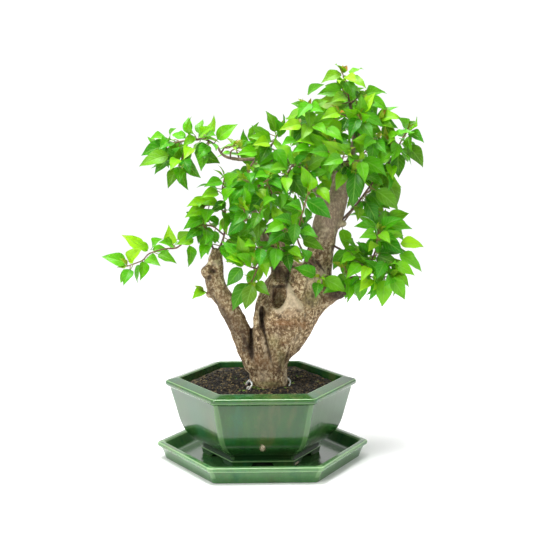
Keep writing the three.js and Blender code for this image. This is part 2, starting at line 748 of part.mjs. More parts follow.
const sprays = {
  farLeft: {
    twigs: [
      [[-44, 324, 0], [-57, 331, -2], [-72, 330, -4], [-84, 328, -5], [-94, 325, -6]],
      [[-72, 330, -4], [-77, 320, -9], [-82, 307, -12]],
    ],
    leaves: [
      [-122, 315, -95, 325, -8],
      [-124, 304, -93, 315, -14],
      [-109, 296, -91, 312, -20],
      [-112, 332, -96, 333, -2],
      [-87, 343, -91, 331, -2],
      [-83, 287, -82, 303, -14],
      [-92, 300, -84, 311, -20],
      [-72, 296, -78, 311, -12],
      [-61, 299, -57, 318, -6],
      [-65, 311, -53, 325, -10],
      [-78, 311, -71, 323, -16],
      [-48, 344, -63, 333, -6],
      [-23, 347, -44, 331, -4],
      [-48, 294, -45, 319, -6],
      [-13, 314, -40, 325, -8],
    ],
    grow: 0,
  },
  leftTop: {
    twigs: [[[3, 311, 3], [8, 320, -2], [13, 329, -6], [17, 337, -9]]],
    leaves: [
      [15, 353, 20, 334, -10],
      [-13, 334, 10, 330, -8],
      [-1, 307, 8, 325, -14],
      [-25, 316, -4, 318, -4],
    ],
    grow: 0,
  },
  leftMiddle: {
    twigs: [
      [[-44, 217, -2], [-38, 232, -6], [-36, 250, -8], [-37, 264, -8], [-39, 280, -8], [-37, 292, -8]],
      [[-36, 256, -8], [-46, 264, -12], [-56, 264, -14]],
      [[-38, 234, -6], [-48, 242, -10], [-58, 244, -12]],
    ],
    leaves: [
      [-58, 283, -40, 289, -10],
      [-62, 272, -44, 278, -12],
      [-76, 263, -56, 268, -14],
      [-78, 252, -58, 261, -18],
      [-80, 240, -59, 250, -14],
      [-78, 229, -61, 240, -16],
      [-22, 297, -36, 287, -12],
      [-27, 282, -38, 272, -14],
      [-32, 303, -38, 290, -6],
      [-62, 210, -55, 224, -12],
      [-17, 210, -31, 227, -12],
      [-34, 206, -36, 222, -14],
      [-20, 246, -36, 252, -10],
    ],
    grow: 0,
  },
  leftLow: {
    twigs: [
      [
        [-47, 216, -2],
        [-56, 234, -6],
        [-66, 235, -7],
        [-76, 229, -7],
        [-86, 221, -6],
        [-98, 220, -5],
        [-112, 216, -4],
        [-123, 207, -3],
        [-136, 202, -2],
      ],
    ],
    leaves: [
      [-163, 213, -138, 205, -2],
      [-141, 182, -134, 199, -4],
      [-121, 222, -135, 207, -6],
      [-142, 235, -121, 219, 0],
      [-103, 203, -116, 211, -8],
      [-101, 231, -111, 221, -6],
      [-94, 244, -92, 225, -6],
      [-104, 227, -90, 224, -12],
      [-75, 222, -88, 222, -12],
    ],
    grow: 0,
  },
  leftSprig: {
    twigs: [[[-49, 173, -2], [-55, 174, -5], [-58, 176, -6]]],
    leaves: [
      [-71, 168, -58, 176, -6],
      [-63, 184, -59, 175, -8],
    ],
    grow: 0,
  },
  lowLeft: {
    twigs: [
      [[13, 211, 6], [4, 208, -8], [-4, 199, -18], [-9, 186, -24]],
      [[-4, 199, -18], [-14, 202, -24], [-22, 205, -28]],
    ],
    leaves: [
      [-31, 154, -14, 184, -28],
      [-17, 155, -9, 182, -30],
      [9, 171, -6, 184, -28],
      [-36, 180, -20, 200, -32],
      [-26, 215, -10, 204, -30],
      [6, 190, 1, 208, -26],
    ],
    grow: 0,
  },
  trunkShoot: {
    twigs: [[[60, 190, -10], [60, 191, -21], [60, 189, -27]]],
    leaves: [
      [33, 201, 56, 192, -30],
      [41, 173, 54, 187, -32],
      [56, 168, 59, 184, -30],
      [89, 174, 65, 188, -28],
    ],
    grow: 0,
  },
  frontCentre: {
    twigs: [
      [
        [58, 198, -2],
        [52, 205, -17],
        [42, 218, -24],
        [37, 232, -26],
        [40, 248, -31],
        [44, 264, -34],
        [49, 277, -36],
      ],
      [[37, 232, -26], [28, 238, -32], [20, 242, -36]],
    ],
    leaves: [
      [73, 250, 47, 269, -38],
      [71, 266, 58, 281, -38],
      [57, 259, 44, 254, -36],
      [33, 222, 35, 245, -40],
      [58, 232, 42, 239, -34],
      [65, 218, 43, 228, -30],
      [3, 236, 23, 245, -40],
      [13, 252, 31, 247, -36],
      [27, 266, 41, 262, -40],
      [50, 296, 51, 280, -40],
      [14, 224, 19, 239, -44],
      [30, 283, 44, 271, -34],
    ],
    grow: 0,
  },
  centreLow: {
    twigs: [
      [[14, 210, 8], [15, 217, -8], [16, 222, -20], [15, 226, -28]],
      [[16, 222, -20], [6, 222, -26], [-4, 220, -30]],
      [[15, 219, -14], [26, 216, -22], [31, 212, -26]],
    ],
    leaves: [
      [13, 197, 16, 220, -34],
      [30, 195, 27, 213, -32],
      [42, 210, 30, 219, -34],
      [-2, 201, 0, 219, -36],
      [-18, 222, -6, 224, -34],
    ],
    grow: 0,
  },
  centreLeft: {
    twigs: [
      [[1, 237, 9], [-8, 243, -8], [-14, 250, -20], [-18, 260, -27]],
      [[-8, 243, -8], [-4, 252, -22], [0, 260, -32]],
    ],
    leaves: [
      [-29, 243, -17, 257, -30],
      [-9, 240, -2, 256, -34],
      [-30, 268, -19, 262, -28],
      [14, 272, 2, 264, -34],
    ],
    grow: 0,
  },
  centreHigh: {
    twigs: [
      [[-8, 272, 12], [-4, 281, -4], [2, 287, -16], [8, 291, -25]],
      [[-4, 281, -4], [-12, 286, -12], [-18, 290, -18]],
    ],
    leaves: [
      [-7, 292, 6, 295, -28],
      [22, 280, 10, 290, -28],
      [-30, 277, -18, 288, -22],
      [5, 271, 6, 286, -30],
    ],
    grow: 0,
  },
  shelfFront: {
    twigs: [
      [[34, 307, 0], [31, 304, -12], [28, 299, -22], [26, 294, -29]],
      [[31, 304, -12], [40, 303, -22], [47, 300, -28]],
    ],
    leaves: [
      [8, 300, 24, 302, -24],
      [26, 277, 26, 292, -34],
      [45, 315, 36, 305, -26],
      [57, 287, 48, 299, -32],
    ],
    grow: 0,
  },
  shelfLeft: {
    twigs: [
      [[-6, 310, 2], [-10, 304, -8], [-13, 298, -15]],
      [[-22, 311, 2], [-24, 318, 8], [-26, 324, 14]],
    ],
    leaves: [
      [-33, 300, -14, 302, -12],
      [-10, 287, -12, 297, -20],
    ],
    grow: 0,
  },
  crownLeft: {
    twigs: [
      [[60, 339, -2], [55, 346, -10], [51, 354, -16], [48, 363, -18]],
      [[55, 346, -10], [46, 345, -17], [38, 345, -22]],
    ],
    leaves: [
      [28, 357, 46, 374, -16],
      [64, 386, 47, 376, -14],
      [36, 352, 49, 367, -24],
      [18, 341, 40, 346, -26],
      [24, 330, 38, 341, -30],
      [41, 331, 48, 344, -28],
      [67, 336, 54, 345, -24],
    ],
    grow: 0,
  },
  crownFrontLeft: {
    twigs: [
      [[70, 322, 0], [64, 321, -12], [58, 319, -22], [52, 316, -30]],
      [[64, 321, -12], [68, 326, -22], [70, 329, -30]],
    ],
    leaves: [
      [48, 318, 68, 318, -38],
      [32, 318, 50, 322, -32],
      [36, 330, 54, 327, -30],
      [84, 329, 66, 341, -34],
      [57, 330, 68, 335, -40],
      [20, 324, 36, 330, -24],
      [38, 300, 50, 311, -36],
    ],
    grow: 0,
  },
  crownTop: {
    twigs: [
      [[90, 363, 2], [88, 374, 0], [85, 386, -2], [82, 397, -3]],
      [[90, 366, 2], [97, 372, -2], [103, 376, -4]],
    ],
    leaves: [
      [60, 387, 80, 397, -4],
      [93, 404, 82, 397, -5],
      [96, 387, 86, 394, -8],
      [107, 383, 89, 391, -2],
      [56, 376, 81, 380, -8],
      [117, 363, 97, 376, -6],
      [74, 406, 81, 397, 2],
      [70, 368, 85, 374, -12],
    ],
    grow: 0,
  },
  crownFront: {
    twigs: [
      [[94, 347, 5], [95, 350, -8], [97, 352, -18], [99, 352, -26]],
      [[95, 350, -8], [86, 354, -16], [78, 357, -22]],
    ],
    leaves: [
      [101, 377, 100, 356, -26],
      [90, 333, 97, 352, -32],
      [60, 352, 79, 358, -24],
      [78, 338, 77, 355, -28],
      [114, 331, 102, 347, -30],
      [126, 343, 103, 354, -24],
      [84, 373, 80, 361, -22],
    ],
    grow: 0,
  },
  crownMiddle: {
    twigs: [
      [[84, 303, -1], [82, 308, -12], [83, 313, -22], [85, 317, -30]],
      [[82, 308, -12], [92, 309, -20], [99, 309, -26]],
    ],
    leaves: [
      [62, 305, 82, 312, -36],
      [99, 318, 74, 322, -42, 0.3],
      [93, 260, 96, 296, -30],
      [106, 286, 101, 308, -32],
      [130, 293, 103, 310, -30],
      [76, 279, 84, 297, -22],
      [70, 296, 76, 310, -30],
    ],
    grow: 0,
  },
  crownRight: {
    twigs: [
      [[95, 336, 6], [104, 340, 0], [114, 345, -6], [120, 349, -10]],
      [[104, 340, 0], [112, 334, -8], [118, 330, -14]],
    ],
    leaves: [
      [143, 353, 120, 352, -10],
      [112, 364, 108, 348, -8],
      [125, 330, 115, 343, -18],
      [134, 345, 121, 340, -14],
      [127, 316, 116, 329, -20],
      [104, 322, 113, 331, -18],
      [134, 330, 122, 331, -12],
    ],
    grow: 0,
  },
  rightTwig: {
    twigs: [
      [
        [80, 246, 4],
        [95, 262, -2],
        [105, 275, -5],
        [113, 286, -6],
        [121, 296, -6],
        [129, 306, -5],
        [137, 319, -4],
        [143, 331, -3],
        [148, 340, -2],
      ],
      [[137, 319, -4], [133, 325, -10], [129, 330, -14]],
    ],
    leaves: [
      [133, 308, 138, 327, -8],
      [134, 290, 131, 306, -8],
      [166, 328, 150, 338, -4],
      [167, 302, 148, 324, -4],
      [142, 337, 129, 331, -16],
      [138, 353, 148, 341, -4],
      [141, 262, 128, 290, -8],
      [143, 258, 117, 279, -14],
      [120, 243, 107, 267, -14],
      [99, 248, 99, 262, -4],
      [125, 284, 109, 294, -14],
      [155, 350, 149, 340, 2],
    ],
    grow: 0,
  },
  rightMiddle: {
    twigs: [
      [[66, 227, 5], [84, 217, -2], [93, 211, -6], [103, 205, -8], [118, 205, -10], [133, 206, -12]],
      [[112, 204, -9], [117, 216, -10], [119, 228, -10], [120, 238, -10]],
    ],
    leaves: [
      [72, 197, 88, 217, -6],
      [82, 204, 93, 213, -10],
      [84, 229, 97, 219, -2],
      [113, 198, 101, 221, -16],
      [169, 222, 143, 224, -12],
      [168, 195, 142, 213, -12],
      [159, 191, 138, 203, -20],
      [95, 243, 117, 241, -12],
      [101, 231, 117, 234, -18],
      [156, 240, 124, 242, -8],
      [147, 230, 123, 238, -16],
      [133, 224, 122, 235, -22],
      [118, 187, 127, 205, -20],
      [150, 213, 130, 210, -22],
    ],
    grow: 0,
  },
  rightLow: {
    twigs: [
      [[86, 185, -8], [94, 190, -9], [104, 190, -12], [118, 190, -14], [132, 190, -14]],
      [[90, 188, -9], [88, 194, -10], [86, 199, -10]],
    ],
    leaves: [
      [154, 179, 136, 195, -12],
      [150, 165, 134, 188, -18],
      [125, 157, 127, 187, -22],
      [101, 163, 104, 188, -18],
      [111, 166, 113, 187, -8],
      [103, 186, 110, 200, -26],
      [87, 188, 102, 203, -24],
      [133, 170, 137, 192, -4],
    ],
    grow: 0,
  },
  backTop: {
    twigs: [
      [[68, 318, 46], [70, 336, 44], [76, 352, 42], [80, 366, 38]],
      [[70, 336, 44], [56, 346, 52], [46, 352, 56]],
    ],
    leaves: [],
    grow: 13,
  },
  backRight: {
    twigs: [
      [[75, 283, 38], [90, 300, 46], [104, 316, 50], [116, 330, 50]],
      [[90, 300, 46], [106, 300, 58], [118, 302, 64]],
    ],
    leaves: [],
    grow: 13,
  },
  backRightLow: {
    twigs: [
      [[70, 232, 16], [84, 246, 30], [100, 268, 42], [114, 282, 48]],
      [[100, 268, 42], [116, 258, 48], [126, 246, 50]],
    ],
    leaves: [],
    grow: 10,
  },
  backMiddle: {
    twigs: [
      [[72, 296, 42], [58, 304, 54], [44, 308, 62], [30, 306, 68]],
      [[58, 304, 54], [56, 318, 64], [52, 330, 70]],
    ],
    leaves: [],
    grow: 13,
  },
  backCentre: {
    twigs: [
      [[18, 252, 42], [14, 268, 48], [8, 284, 50], [4, 298, 50]],
      [[14, 268, 48], [28, 276, 58], [38, 280, 64]],
    ],
    leaves: [],
    grow: 13,
  },
  backLeft: {
    twigs: [
      [[-8, 280, 14], [-12, 292, 28], [-14, 306, 40], [-12, 320, 46]],
      [[-12, 292, 28], [-2, 300, 42], [6, 308, 52]],
    ],
    leaves: [],
    grow: 11,
  },
  backLowLeft: {
    twigs: [
      [[20, 232, 36], [6, 238, 46], [-8, 246, 50], [-20, 254, 50]],
      [[6, 238, 46], [8, 226, 56], [8, 216, 60]],
    ],
    leaves: [],
    grow: 11,
  },
};

// Points along the limbs and twigs, each with the radius kept clear round it.
function limbPoints() {
  const points = [];
  for (const { stops } of [...Object.values(limbs), { stops: rib }]) {
    const curve = new THREE.CatmullRomCurve3(stops.map(([a, u, d]) => seen(a, u, d)));
    const steps = Math.ceil(curve.getLength() / 3);
    for (let i = 0; i <= steps; i++) {
      const place = (i / steps) * (stops.length - 1);
      const k = Math.min(Math.floor(place), stops.length - 2);
      const width = THREE.MathUtils.lerp(stops[k][3], stops[k + 1][3], place - k);
      points.push({ at: curve.getPoint(i / steps), radius: width / 2 + 1.2 });
    }
  }
  return points;
}

function twigCurve(stops) {
  const corners = stops.map(([a, u, d]) => seen(a, u, d));
  const path = new THREE.CurvePath();
  for (let k = 1; k < corners.length; k++) {
    path.add(new THREE.LineCurve3(corners[k - 1], corners[k]));
  }
  return path;
}

// Places where a leaf may grow, evenly spaced along each twig of a spray and short of its end.
function budsOn(curves) {
  return curves.flatMap((curve, twig) => {
    const count = Math.floor(curve.getLength() / budSpacing);
    return Array.from({ length: count }, (_, k) => {
      const t = (k + 0.5) / count;
      return { twig, t, at: curve.getPointAt(t), along: curve.getTangentAt(t), taken: false };
    });
  });
}

// True where a petiole would double back over its own blade.
function foldsBack(root, base, tip) {
  return base.clone().sub(root).normalize().dot(tip.clone().sub(base).normalize()) < leastBend;
}

// The free bud that lies nearest to a leaf's base, and from which the petiole needn't double back.
function nearestBud(buds, base, tip) {
  const free = buds.filter((bud) => !bud.taken);
  const far = ({ at }) => at.distanceTo(base) + (foldsBack(at, base, tip) ? 30 : 0);
  return free.reduce((best, bud) => (far(bud) < far(best) ? bud : best));
}

// A leaf that grows by rule: round the twig by the golden angle, outwards and drooping.
function grownLeaf(buds, twig, k, count, draw) {
  const t = 0.3 + (0.68 * (k + 0.6 * draw())) / count;
  const near = buds.filter((each) => each.twig === twig && !each.taken);
  const bud = near.reduce((best, each) =>
    Math.abs(each.t - t) < Math.abs(best.t - t) ? each : best,
  );
  const root = bud.at;
  const along = bud.along;
  const level = new THREE.Vector3(0, 0, 1).cross(along).normalize();
  const over = along.clone().cross(level);
  const turn = goldenAngle * k + 2.4 * draw();
  const out = level.multiplyScalar(Math.cos(turn)).addScaledVector(over, Math.sin(turn));
  const fromTrunk = new THREE.Vector3(root.x - crownMiddleX, root.y, 0).normalize();
  out.addScaledVector(fromTrunk, 0.7).normalize();
  const stalk = out.clone().multiplyScalar(0.8).addScaledVector(along, 0.5);
  stalk.z += 0.2;
  const base = root.clone().addScaledVector(stalk.normalize(), petiole * (0.8 + 0.5 * draw()));
  const blade = out.clone().multiplyScalar(0.75).addScaledVector(along, 0.3);
  blade.z -= 0.4 + 0.6 * draw();
  const length = 25 + 9 * draw();
  const tip = base.clone().addScaledVector(blade.normalize(), length);
  const hint = new THREE.Vector3(0.4 * draw() - 0.2, 0.4 * draw() - 0.2, 0.8).addScaledVector(out, 0.8);
  const face = faceOf(base, tip, hint);
  return { bud, root, base, tip, face, width: length * leafWidthShare };
}

// A leaf on any free bud, hanging at any slant, with its face towards the viewer's side or, behind
// the trunk, away from it.
function drawnLeaf(buds, draw) {
  const free = buds.filter((bud) => !bud.taken && bud.t > 0.12);
  const bud = free[Math.floor(draw() * free.length)];
  const outwards = new THREE.Vector3(draw() - 0.5, draw() - 0.6, draw() - 0.4).normalize();
  const base = bud.at.clone().addScaledVector(outwards, petiole * (0.9 + 0.9 * draw()));
  const slant = (draw() - 0.5) * 1.5 * Math.PI;
  const blade = new THREE.Vector3(Math.sin(slant), draw() - 0.6, -Math.cos(slant)).normalize();
  const length = 17 + 15 * draw();
  const tip = base.clone().addScaledVector(blade, length);
  const front = bud.at.y > 12 ? 1 : -1;
  const hint = new THREE.Vector3(0, front, 0.6).addScaledVector(outwards, 0.3);
  const width = length * leafWidthShare;
  return { bud, root: bud.at, base, tip, face: faceOf(base, tip, hint), width };
}

// All leaves of all sprays. A leaf that would meet another or the wood is moved along the line of
// sight, or drawn again, and is left out if it finds no room.
function placeLeaves() {
  const wood = limbPoints();
  const placed = [];
  const curves = {};
  const buds = {};
  for (const [name, spray] of Object.entries(sprays)) {
    curves[name] = spray.twigs.map(twigCurve);
    buds[name] = budsOn(curves[name]);
  }
  const twigPoints = [];
  for (const [name, set] of Object.entries(curves)) {
    for (const curve of set) {
      const steps = Math.ceil(curve.getLength() / 2.5);
      for (let i = 0; i <= steps; i++) {
        twigPoints.push({ at: curve.getPoint(i / steps), radius: 1.9, name });
      }
    }
  }

  const gains = gainByCell();
  for (const point of [...wood, ...twigPoints]) hideDisc(gains, point);
  const gainOf = (points) => points.blade.reduce((sum, point) => sum + gains[cellAt(point)], 0);
  const place = (entry) => {
    placed.push(entry);
    hideLeaf(gains, entry.leaf);
  };

  const fits = (leaf, points, name) => {
    if (foldsBack(leaf.root, leaf.base, leaf.tip)) return false;
    for (const { at, radius } of wood) {
      if (points.all.some((point) => point.distanceTo(at) < radius)) return false;
    }
    for (const stop of twigPoints) {
      const body = stop.name === name ? points.blade : points.all;
      if (body.some((point) => point.distanceTo(stop.at) < stop.radius)) return false;
    }
    for (const other of placed) {
      if (other.leaf.base.distanceTo(leaf.base) > 75) continue;
      for (const a of points.all) {
        for (const b of other.points.all) {
          if (a.distanceToSquared(b) < clearOfLeaf ** 2) return false;
        }
      }
    }
    return true;
  };

  for (const [name, spray] of Object.entries(sprays)) {
    for (const row of spray.leaves) {
      for (const shift of [0, -3, 3, -6, 6]) {
        const { base, tip } = readLeaf(row, shift);
        const bud = nearestBud(buds[name], base, tip);
        const root = bud.at;
        const outwards = base.clone().sub(root).normalize();
        const front = root.y > 12 ? 1 : -1;
        const hint = new THREE.Vector3(0, front, 0.6).addScaledVector(outwards, 0.3);
        const long = base.distanceTo(tip);
        const width = Math.min(21, Math.max(10, long * leafWidthShare));
        const leaf = { root, base, tip, face: faceOf(base, tip, hint), width };
        const points = leafPoints(leaf);
        if (fits(leaf, points, name)) {
          bud.taken = true;
          place({ name, leaf, points });
          break;
        }
      }
    }
  }
  const anyDraw = drawsFrom(4321);
  const names = Object.keys(sprays);
  for (let k = 0; k < fillingLeaves; k++) {
    const drawn = Array.from({ length: drawsPerLeaf }, () => {
      const name = names[Math.floor(anyDraw() * names.length)];
      const leaf = drawnLeaf(buds[name], anyDraw);
      const points = leafPoints(leaf);
      return { name, leaf, points, gain: gainOf(points) };
    });
    drawn.sort((a, b) => b.gain - a.gain);
    const best = drawn.slice(0, 30).find(({ name, leaf, points }) => fits(leaf, points, name));
    if (best) {
      best.leaf.bud.taken = true;
      place(best);
    }
  }
  Object.entries(sprays).forEach(([name, spray], index) => {
    const draw = drawsFrom(1000 + 37 * index);
    for (let k = 0; k < spray.grow; k++) {
      const twigs = spray.twigs.length;
      const rank = Math.floor(k / twigs);
      const count = Math.ceil(spray.grow / twigs);
      for (let attempt = 0; attempt < attempts; attempt++) {
        const leaf = grownLeaf(buds[name], k % twigs, rank, count, draw);
        const points = leafPoints(leaf);
        if (gainOf(points) > leastGain && fits(leaf, points, name)) {
          leaf.bud.taken = true;
          place({ name, leaf, points });
          break;
        }
      }
    }
  });
  return placed;
}

function makeSpray(name, placed, wood) {
  const twigs = sprays[name].twigs.map((stops, index) => {
    const last = stops.length - 1;
    const thick = index ? twigWidth : twigWidth * 1.2;
    const sized = stops.map(([a, u, d], k) => {
      const width = THREE.MathUtils.lerp(thick, twigWidth * 0.8, k / last);
      return [seen(a, u, d), width, width];
    });
    return toSolid(tube(sized, 3, last));
  });
  const leaves = placed.filter((entry) => entry.name === name);
  const solid = joined([...twigs, ...leaves.map(({ leaf }) => leafSolid(leaf))]);
  const nodeName = "spray_" + name.replace(/[A-Z]/g, (letter) => "_" + letter.toLowerCase());
  return toMesh(largestBody(solid.subtract(wood)), nodeName, matt(0x4c9a1c));
}

// Finishes

function glaze(color) {
  return new THREE.MeshStandardMaterial({ color, roughness: 0.2, metalness: 0 });
}

function matt(color) {
  return new THREE.MeshStandardMaterial({ color, roughness: 0.8, metalness: 0 });
}

// The whole tree

const bonsai = new THREE.Group();
bonsai.name = "bougainvillea_bonsai";
const carved = joined(hollows.map((hollow) => ball(hollow)));
const wood = largestBody(makeWood().subtract(carved));
const woodRoom = makeWood(clearance);
const placedLeaves = placeLeaves();
bonsai.add(
  makeSaucer(),
  makePot(),
  makeSoil(woodRoom, makeTie(tieRadius + clearance)),
  toMesh(wood, "trunk", matt(0x8a7358)),
  toMesh(makeTie(tieRadius), "anchor_tie", matt(0xe8e4da)),
  ...Object.keys(sprays).map((name) => makeSpray(name, placedLeaves, woodRoom)),
);

export default bonsai;
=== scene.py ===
import itertools
import math

import bpy
import numpy as np
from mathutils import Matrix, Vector


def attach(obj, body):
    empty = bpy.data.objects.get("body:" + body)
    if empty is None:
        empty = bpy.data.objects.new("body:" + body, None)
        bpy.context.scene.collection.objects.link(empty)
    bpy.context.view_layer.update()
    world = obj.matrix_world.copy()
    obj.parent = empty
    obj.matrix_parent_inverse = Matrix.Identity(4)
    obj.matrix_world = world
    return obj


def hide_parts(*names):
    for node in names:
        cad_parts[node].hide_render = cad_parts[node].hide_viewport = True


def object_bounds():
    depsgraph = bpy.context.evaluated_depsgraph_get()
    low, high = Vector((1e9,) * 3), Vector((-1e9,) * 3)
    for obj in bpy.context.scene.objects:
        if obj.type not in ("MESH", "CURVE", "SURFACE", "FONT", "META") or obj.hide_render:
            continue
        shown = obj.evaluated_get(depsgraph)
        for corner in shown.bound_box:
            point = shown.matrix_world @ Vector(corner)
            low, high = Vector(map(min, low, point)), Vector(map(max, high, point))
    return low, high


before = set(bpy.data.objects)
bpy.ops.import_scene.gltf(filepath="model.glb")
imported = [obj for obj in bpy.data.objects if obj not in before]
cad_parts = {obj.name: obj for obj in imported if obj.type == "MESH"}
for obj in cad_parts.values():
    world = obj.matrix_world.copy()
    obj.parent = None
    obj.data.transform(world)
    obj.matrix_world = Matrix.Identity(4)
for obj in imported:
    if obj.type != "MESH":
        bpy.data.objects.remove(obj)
cadBox = [list(corner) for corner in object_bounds()]
mm = 0.001
draws = np.random.default_rng(20)  # every random choice below comes from this one sequence

# Camera, at the photograph's place
cameraView = {
    "eye": (-35.8, -1247.5, 380),
    "azimuth": 1.9,  # degrees to the right of straight ahead
    "pitch": 8.15,  # degrees down
    "fieldOfView": 24.43,
}
camera = bpy.data.objects.new("camera", bpy.data.cameras.new("camera"))
camera.location = [x * mm for x in cameraView["eye"]]
camera.rotation_euler = (
    math.radians(90 - cameraView["pitch"]), 0, -math.radians(cameraView["azimuth"])
)
camera.data.angle = math.radians(cameraView["fieldOfView"])
camera.data.clip_start = 0.05
camera.data.clip_end = 20
bpy.context.scene.collection.objects.link(camera)
bpy.context.scene.camera = camera

# Shared tools


def linear(hexColour):
    # sRGB to linear: c / 12.92 below 0.04045, else ((c + 0.055) / 1.055) ^ 2.4
    value = hexColour.lstrip("#")
    channels = [int(value[i : i + 2], 16) / 255 for i in (0, 2, 4)]
    return tuple(c / 12.92 if c <= 0.04045 else ((c + 0.055) / 1.055) ** 2.4 for c in channels) + (1.0,)


def add(tree, kind, inputs=None, ramp=None, **settings):
    # one node; an input gets a value, a hex colour, an output socket, or a node, which stands for
    # its first output
    made = tree.nodes.new("ShaderNode" + kind)
    for name, value in settings.items():
        setattr(made, name, value)
    for name, value in (inputs or {}).items():
        socket = made.inputs[name]
        value = value.outputs[0] if isinstance(value, bpy.types.Node) else value
        if isinstance(value, bpy.types.NodeSocket):
            tree.links.new(value, socket)
        else:
            socket.default_value = linear(value) if isinstance(value, str) else value
    if ramp:
        stops = made.color_ramp.elements
        while len(stops) < len(ramp):
            stops.new(0.5)
        for stop, (place, colour) in zip(stops, ramp):
            stop.position = place
            stop.color = linear(colour)
    return made


def newMaterial(name):
    material = bpy.data.materials.new(name)
    material.use_nodes = True
    material.node_tree.nodes.clear()
    return material, material.node_tree


def noise(points, size, seed):
    # smooth value noise from -1 to 1: each corner of a lattice of the given spacing has a fixed
    # draw, and the eight round a point are blended by 3t^2 - 2t^3 along each axis
    cell = points / size
    low = np.floor(cell).astype(np.int64)
    share = cell - low
    share = share * share * (3 - 2 * share)
    total = np.zeros(len(points))
    for corner in itertools.product((0, 1), repeat=3):
        at = low + np.array(corner)
        key = at[:, 0] * 73856093 ^ at[:, 1] * 19349663 ^ at[:, 2] * 83492791 ^ seed * 2654435761
        key = (key ^ (key >> 13)) * 1274126177 & 0xFFFFFFFF
        draw = ((key ^ (key >> 16)) & 0xFFFF) / 32767.5 - 1
        weight = np.prod(np.where(corner, share, 1 - share), axis=1)
        total += draw * weight
    return total


def perCell(size):
    # the texture scale at which one cell of a pattern is this many millimetres across
    return 1 / (size * mm)


def smoothStep(low, high, value):
    # 3t^2 - 2t^3, where t goes from 0 to 1 between low and high
    t = np.clip((value - low) / (high - low), 0, 1)
    return t * t * (3 - 2 * t)


def unit(vectors):
    # each vector divided by its length
    return vectors / np.maximum(np.linalg.norm(vectors, axis=-1, keepdims=True), 1e-12)


def gridFaces(rows, columns, loopRows=False, loopColumns=False):
    # quads between neighbours of a rows x columns grid, wrapped round where it loops
    i = np.arange(rows if loopRows else rows - 1)[:, None]
    j = np.arange(columns if loopColumns else columns - 1)[None, :]
    a = i * columns + j
    b = i * columns + (j + 1) % columns
    c = (i + 1) % rows * columns + (j + 1) % columns
    d = (i + 1) % rows * columns + j
    return np.stack([a, b, c, d], axis=-1).reshape(-1, 4)


def manyGrids(count, rows, columns, **loops):
    # the same grid of quads repeated for every one of a number of equal shapes
    one = gridFaces(rows, columns, **loops)
    return (one[None] + np.arange(count)[:, None, None] * rows * columns).reshape(-1, 4)


def makePiece(name, points, faces, material, replaces=(), layers=None, uv=None):
    # points in millimetres; layers are values for each point, uv a pair for each point
    mesh = bpy.data.meshes.new(name)
    points = np.asarray(points, float).reshape(-1, 3)
    mesh.from_pydata((points * mm).tolist(), [], [list(face) for face in faces])
    for layer, values in (layers or {}).items():
        made = mesh.attributes.new(layer, "FLOAT", "POINT")
        made.data.foreach_set("value", np.asarray(values, np.float32).ravel())
    if uv is not None:
        corner = np.zeros(len(mesh.loops), np.int32)
        mesh.loops.foreach_get("vertex_index", corner)
        made = mesh.uv_layers.new(name="surface")
        flat = np.asarray(uv, np.float32).reshape(-1, 2)[corner]
        made.data.foreach_set("uv", flat.ravel())
    mesh.shade_smooth()
    piece = bpy.data.objects.new(name, mesh)
    bpy.context.scene.collection.objects.link(piece)
    mesh.materials.append(material)
    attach(piece, "root")
    if replaces:
        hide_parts(*replaces)


def stack(parts):
    # several [points, faces] put into one mesh
    points, faces, start = [], [], 0
    for somePoints, someFaces in parts:
        somePoints = np.asarray(somePoints).reshape(-1, 3)
        points.append(somePoints)
        faces += [[int(index) + start for index in face] for face in someFaces]
        start += len(somePoints)
    return np.concatenate(points), faces


def curveThrough(stops, count):
    # Catmull-Rom: each stretch between stops leaves and meets them along the chord of their
    # neighbours; gives count rows, evenly spaced by stop
    stops = np.asarray(stops, float)
    ends = np.concatenate([[2 * stops[0] - stops[1]], stops, [2 * stops[-1] - stops[-2]]])
    place = np.linspace(0, len(stops) - 1, count)
    k = np.minimum(place.astype(int), len(stops) - 2)
    t = (place - k)[:, None]
    a, b, c, d = ends[k], ends[k + 1], ends[k + 2], ends[k + 3]
    return 0.5 * (
        2 * b + (c - a) * t + (2 * a - 5 * b + 4 * c - d) * t**2 + (3 * b - a - 3 * c + d) * t**3
    )


def tube(path, widths, depths, sides):
    # rings round a path: centre + width/2 cos(a) side + depth/2 sin(a) up, the side carried along
    # from ring to ring; closed by a fan at each end
    along = unit(np.gradient(path, axis=0))
    side = np.cross([0, 1, 0], along[0])
    carried = []
    for direction in along:
        side = unit(side - direction * (side @ direction))
        carried.append(side)
    side = np.array(carried)[:, None]
    up = np.cross(along[:, None], side)
    angle = np.arange(sides) * 2 * math.pi / sides
    rings = (
        path[:, None]
        + side * np.cos(angle)[None, :, None] * (np.asarray(widths) / 2)[:, None, None]
        + up * np.sin(angle)[None, :, None] * (np.asarray(depths) / 2)[:, None, None]
    )
    count = len(path)
    faces = gridFaces(count, sides, loopColumns=True).tolist()
    start, end = count * sides, count * sides + 1
    last = (count - 1) * sides
    faces += [[start, (i + 1) % sides, i] for i in range(sides)]
    faces += [[end, last + i, last + (i + 1) % sides] for i in range(sides)]
    points = np.concatenate([rings.reshape(-1, 3), path[:1], path[-1:]])
    return points, faces


# The tree is read from the front as (across, up) at the trunk's depth; a point at another depth
# lies on the same line of sight from the camera.
eye = np.array(cameraView["eye"])


def seen(rows):
    # rows of (across, up, depth): eye + (1 - depth / eye y) (across - eye x, up - eye z)
    across, up, depth = np.asarray(rows, float)[..., :3].T
    share = 1 - depth / eye[1]
    return np.stack([eye[0] + share * (across - eye[0]), depth, eye[2] + share * (up - eye[2])]).T


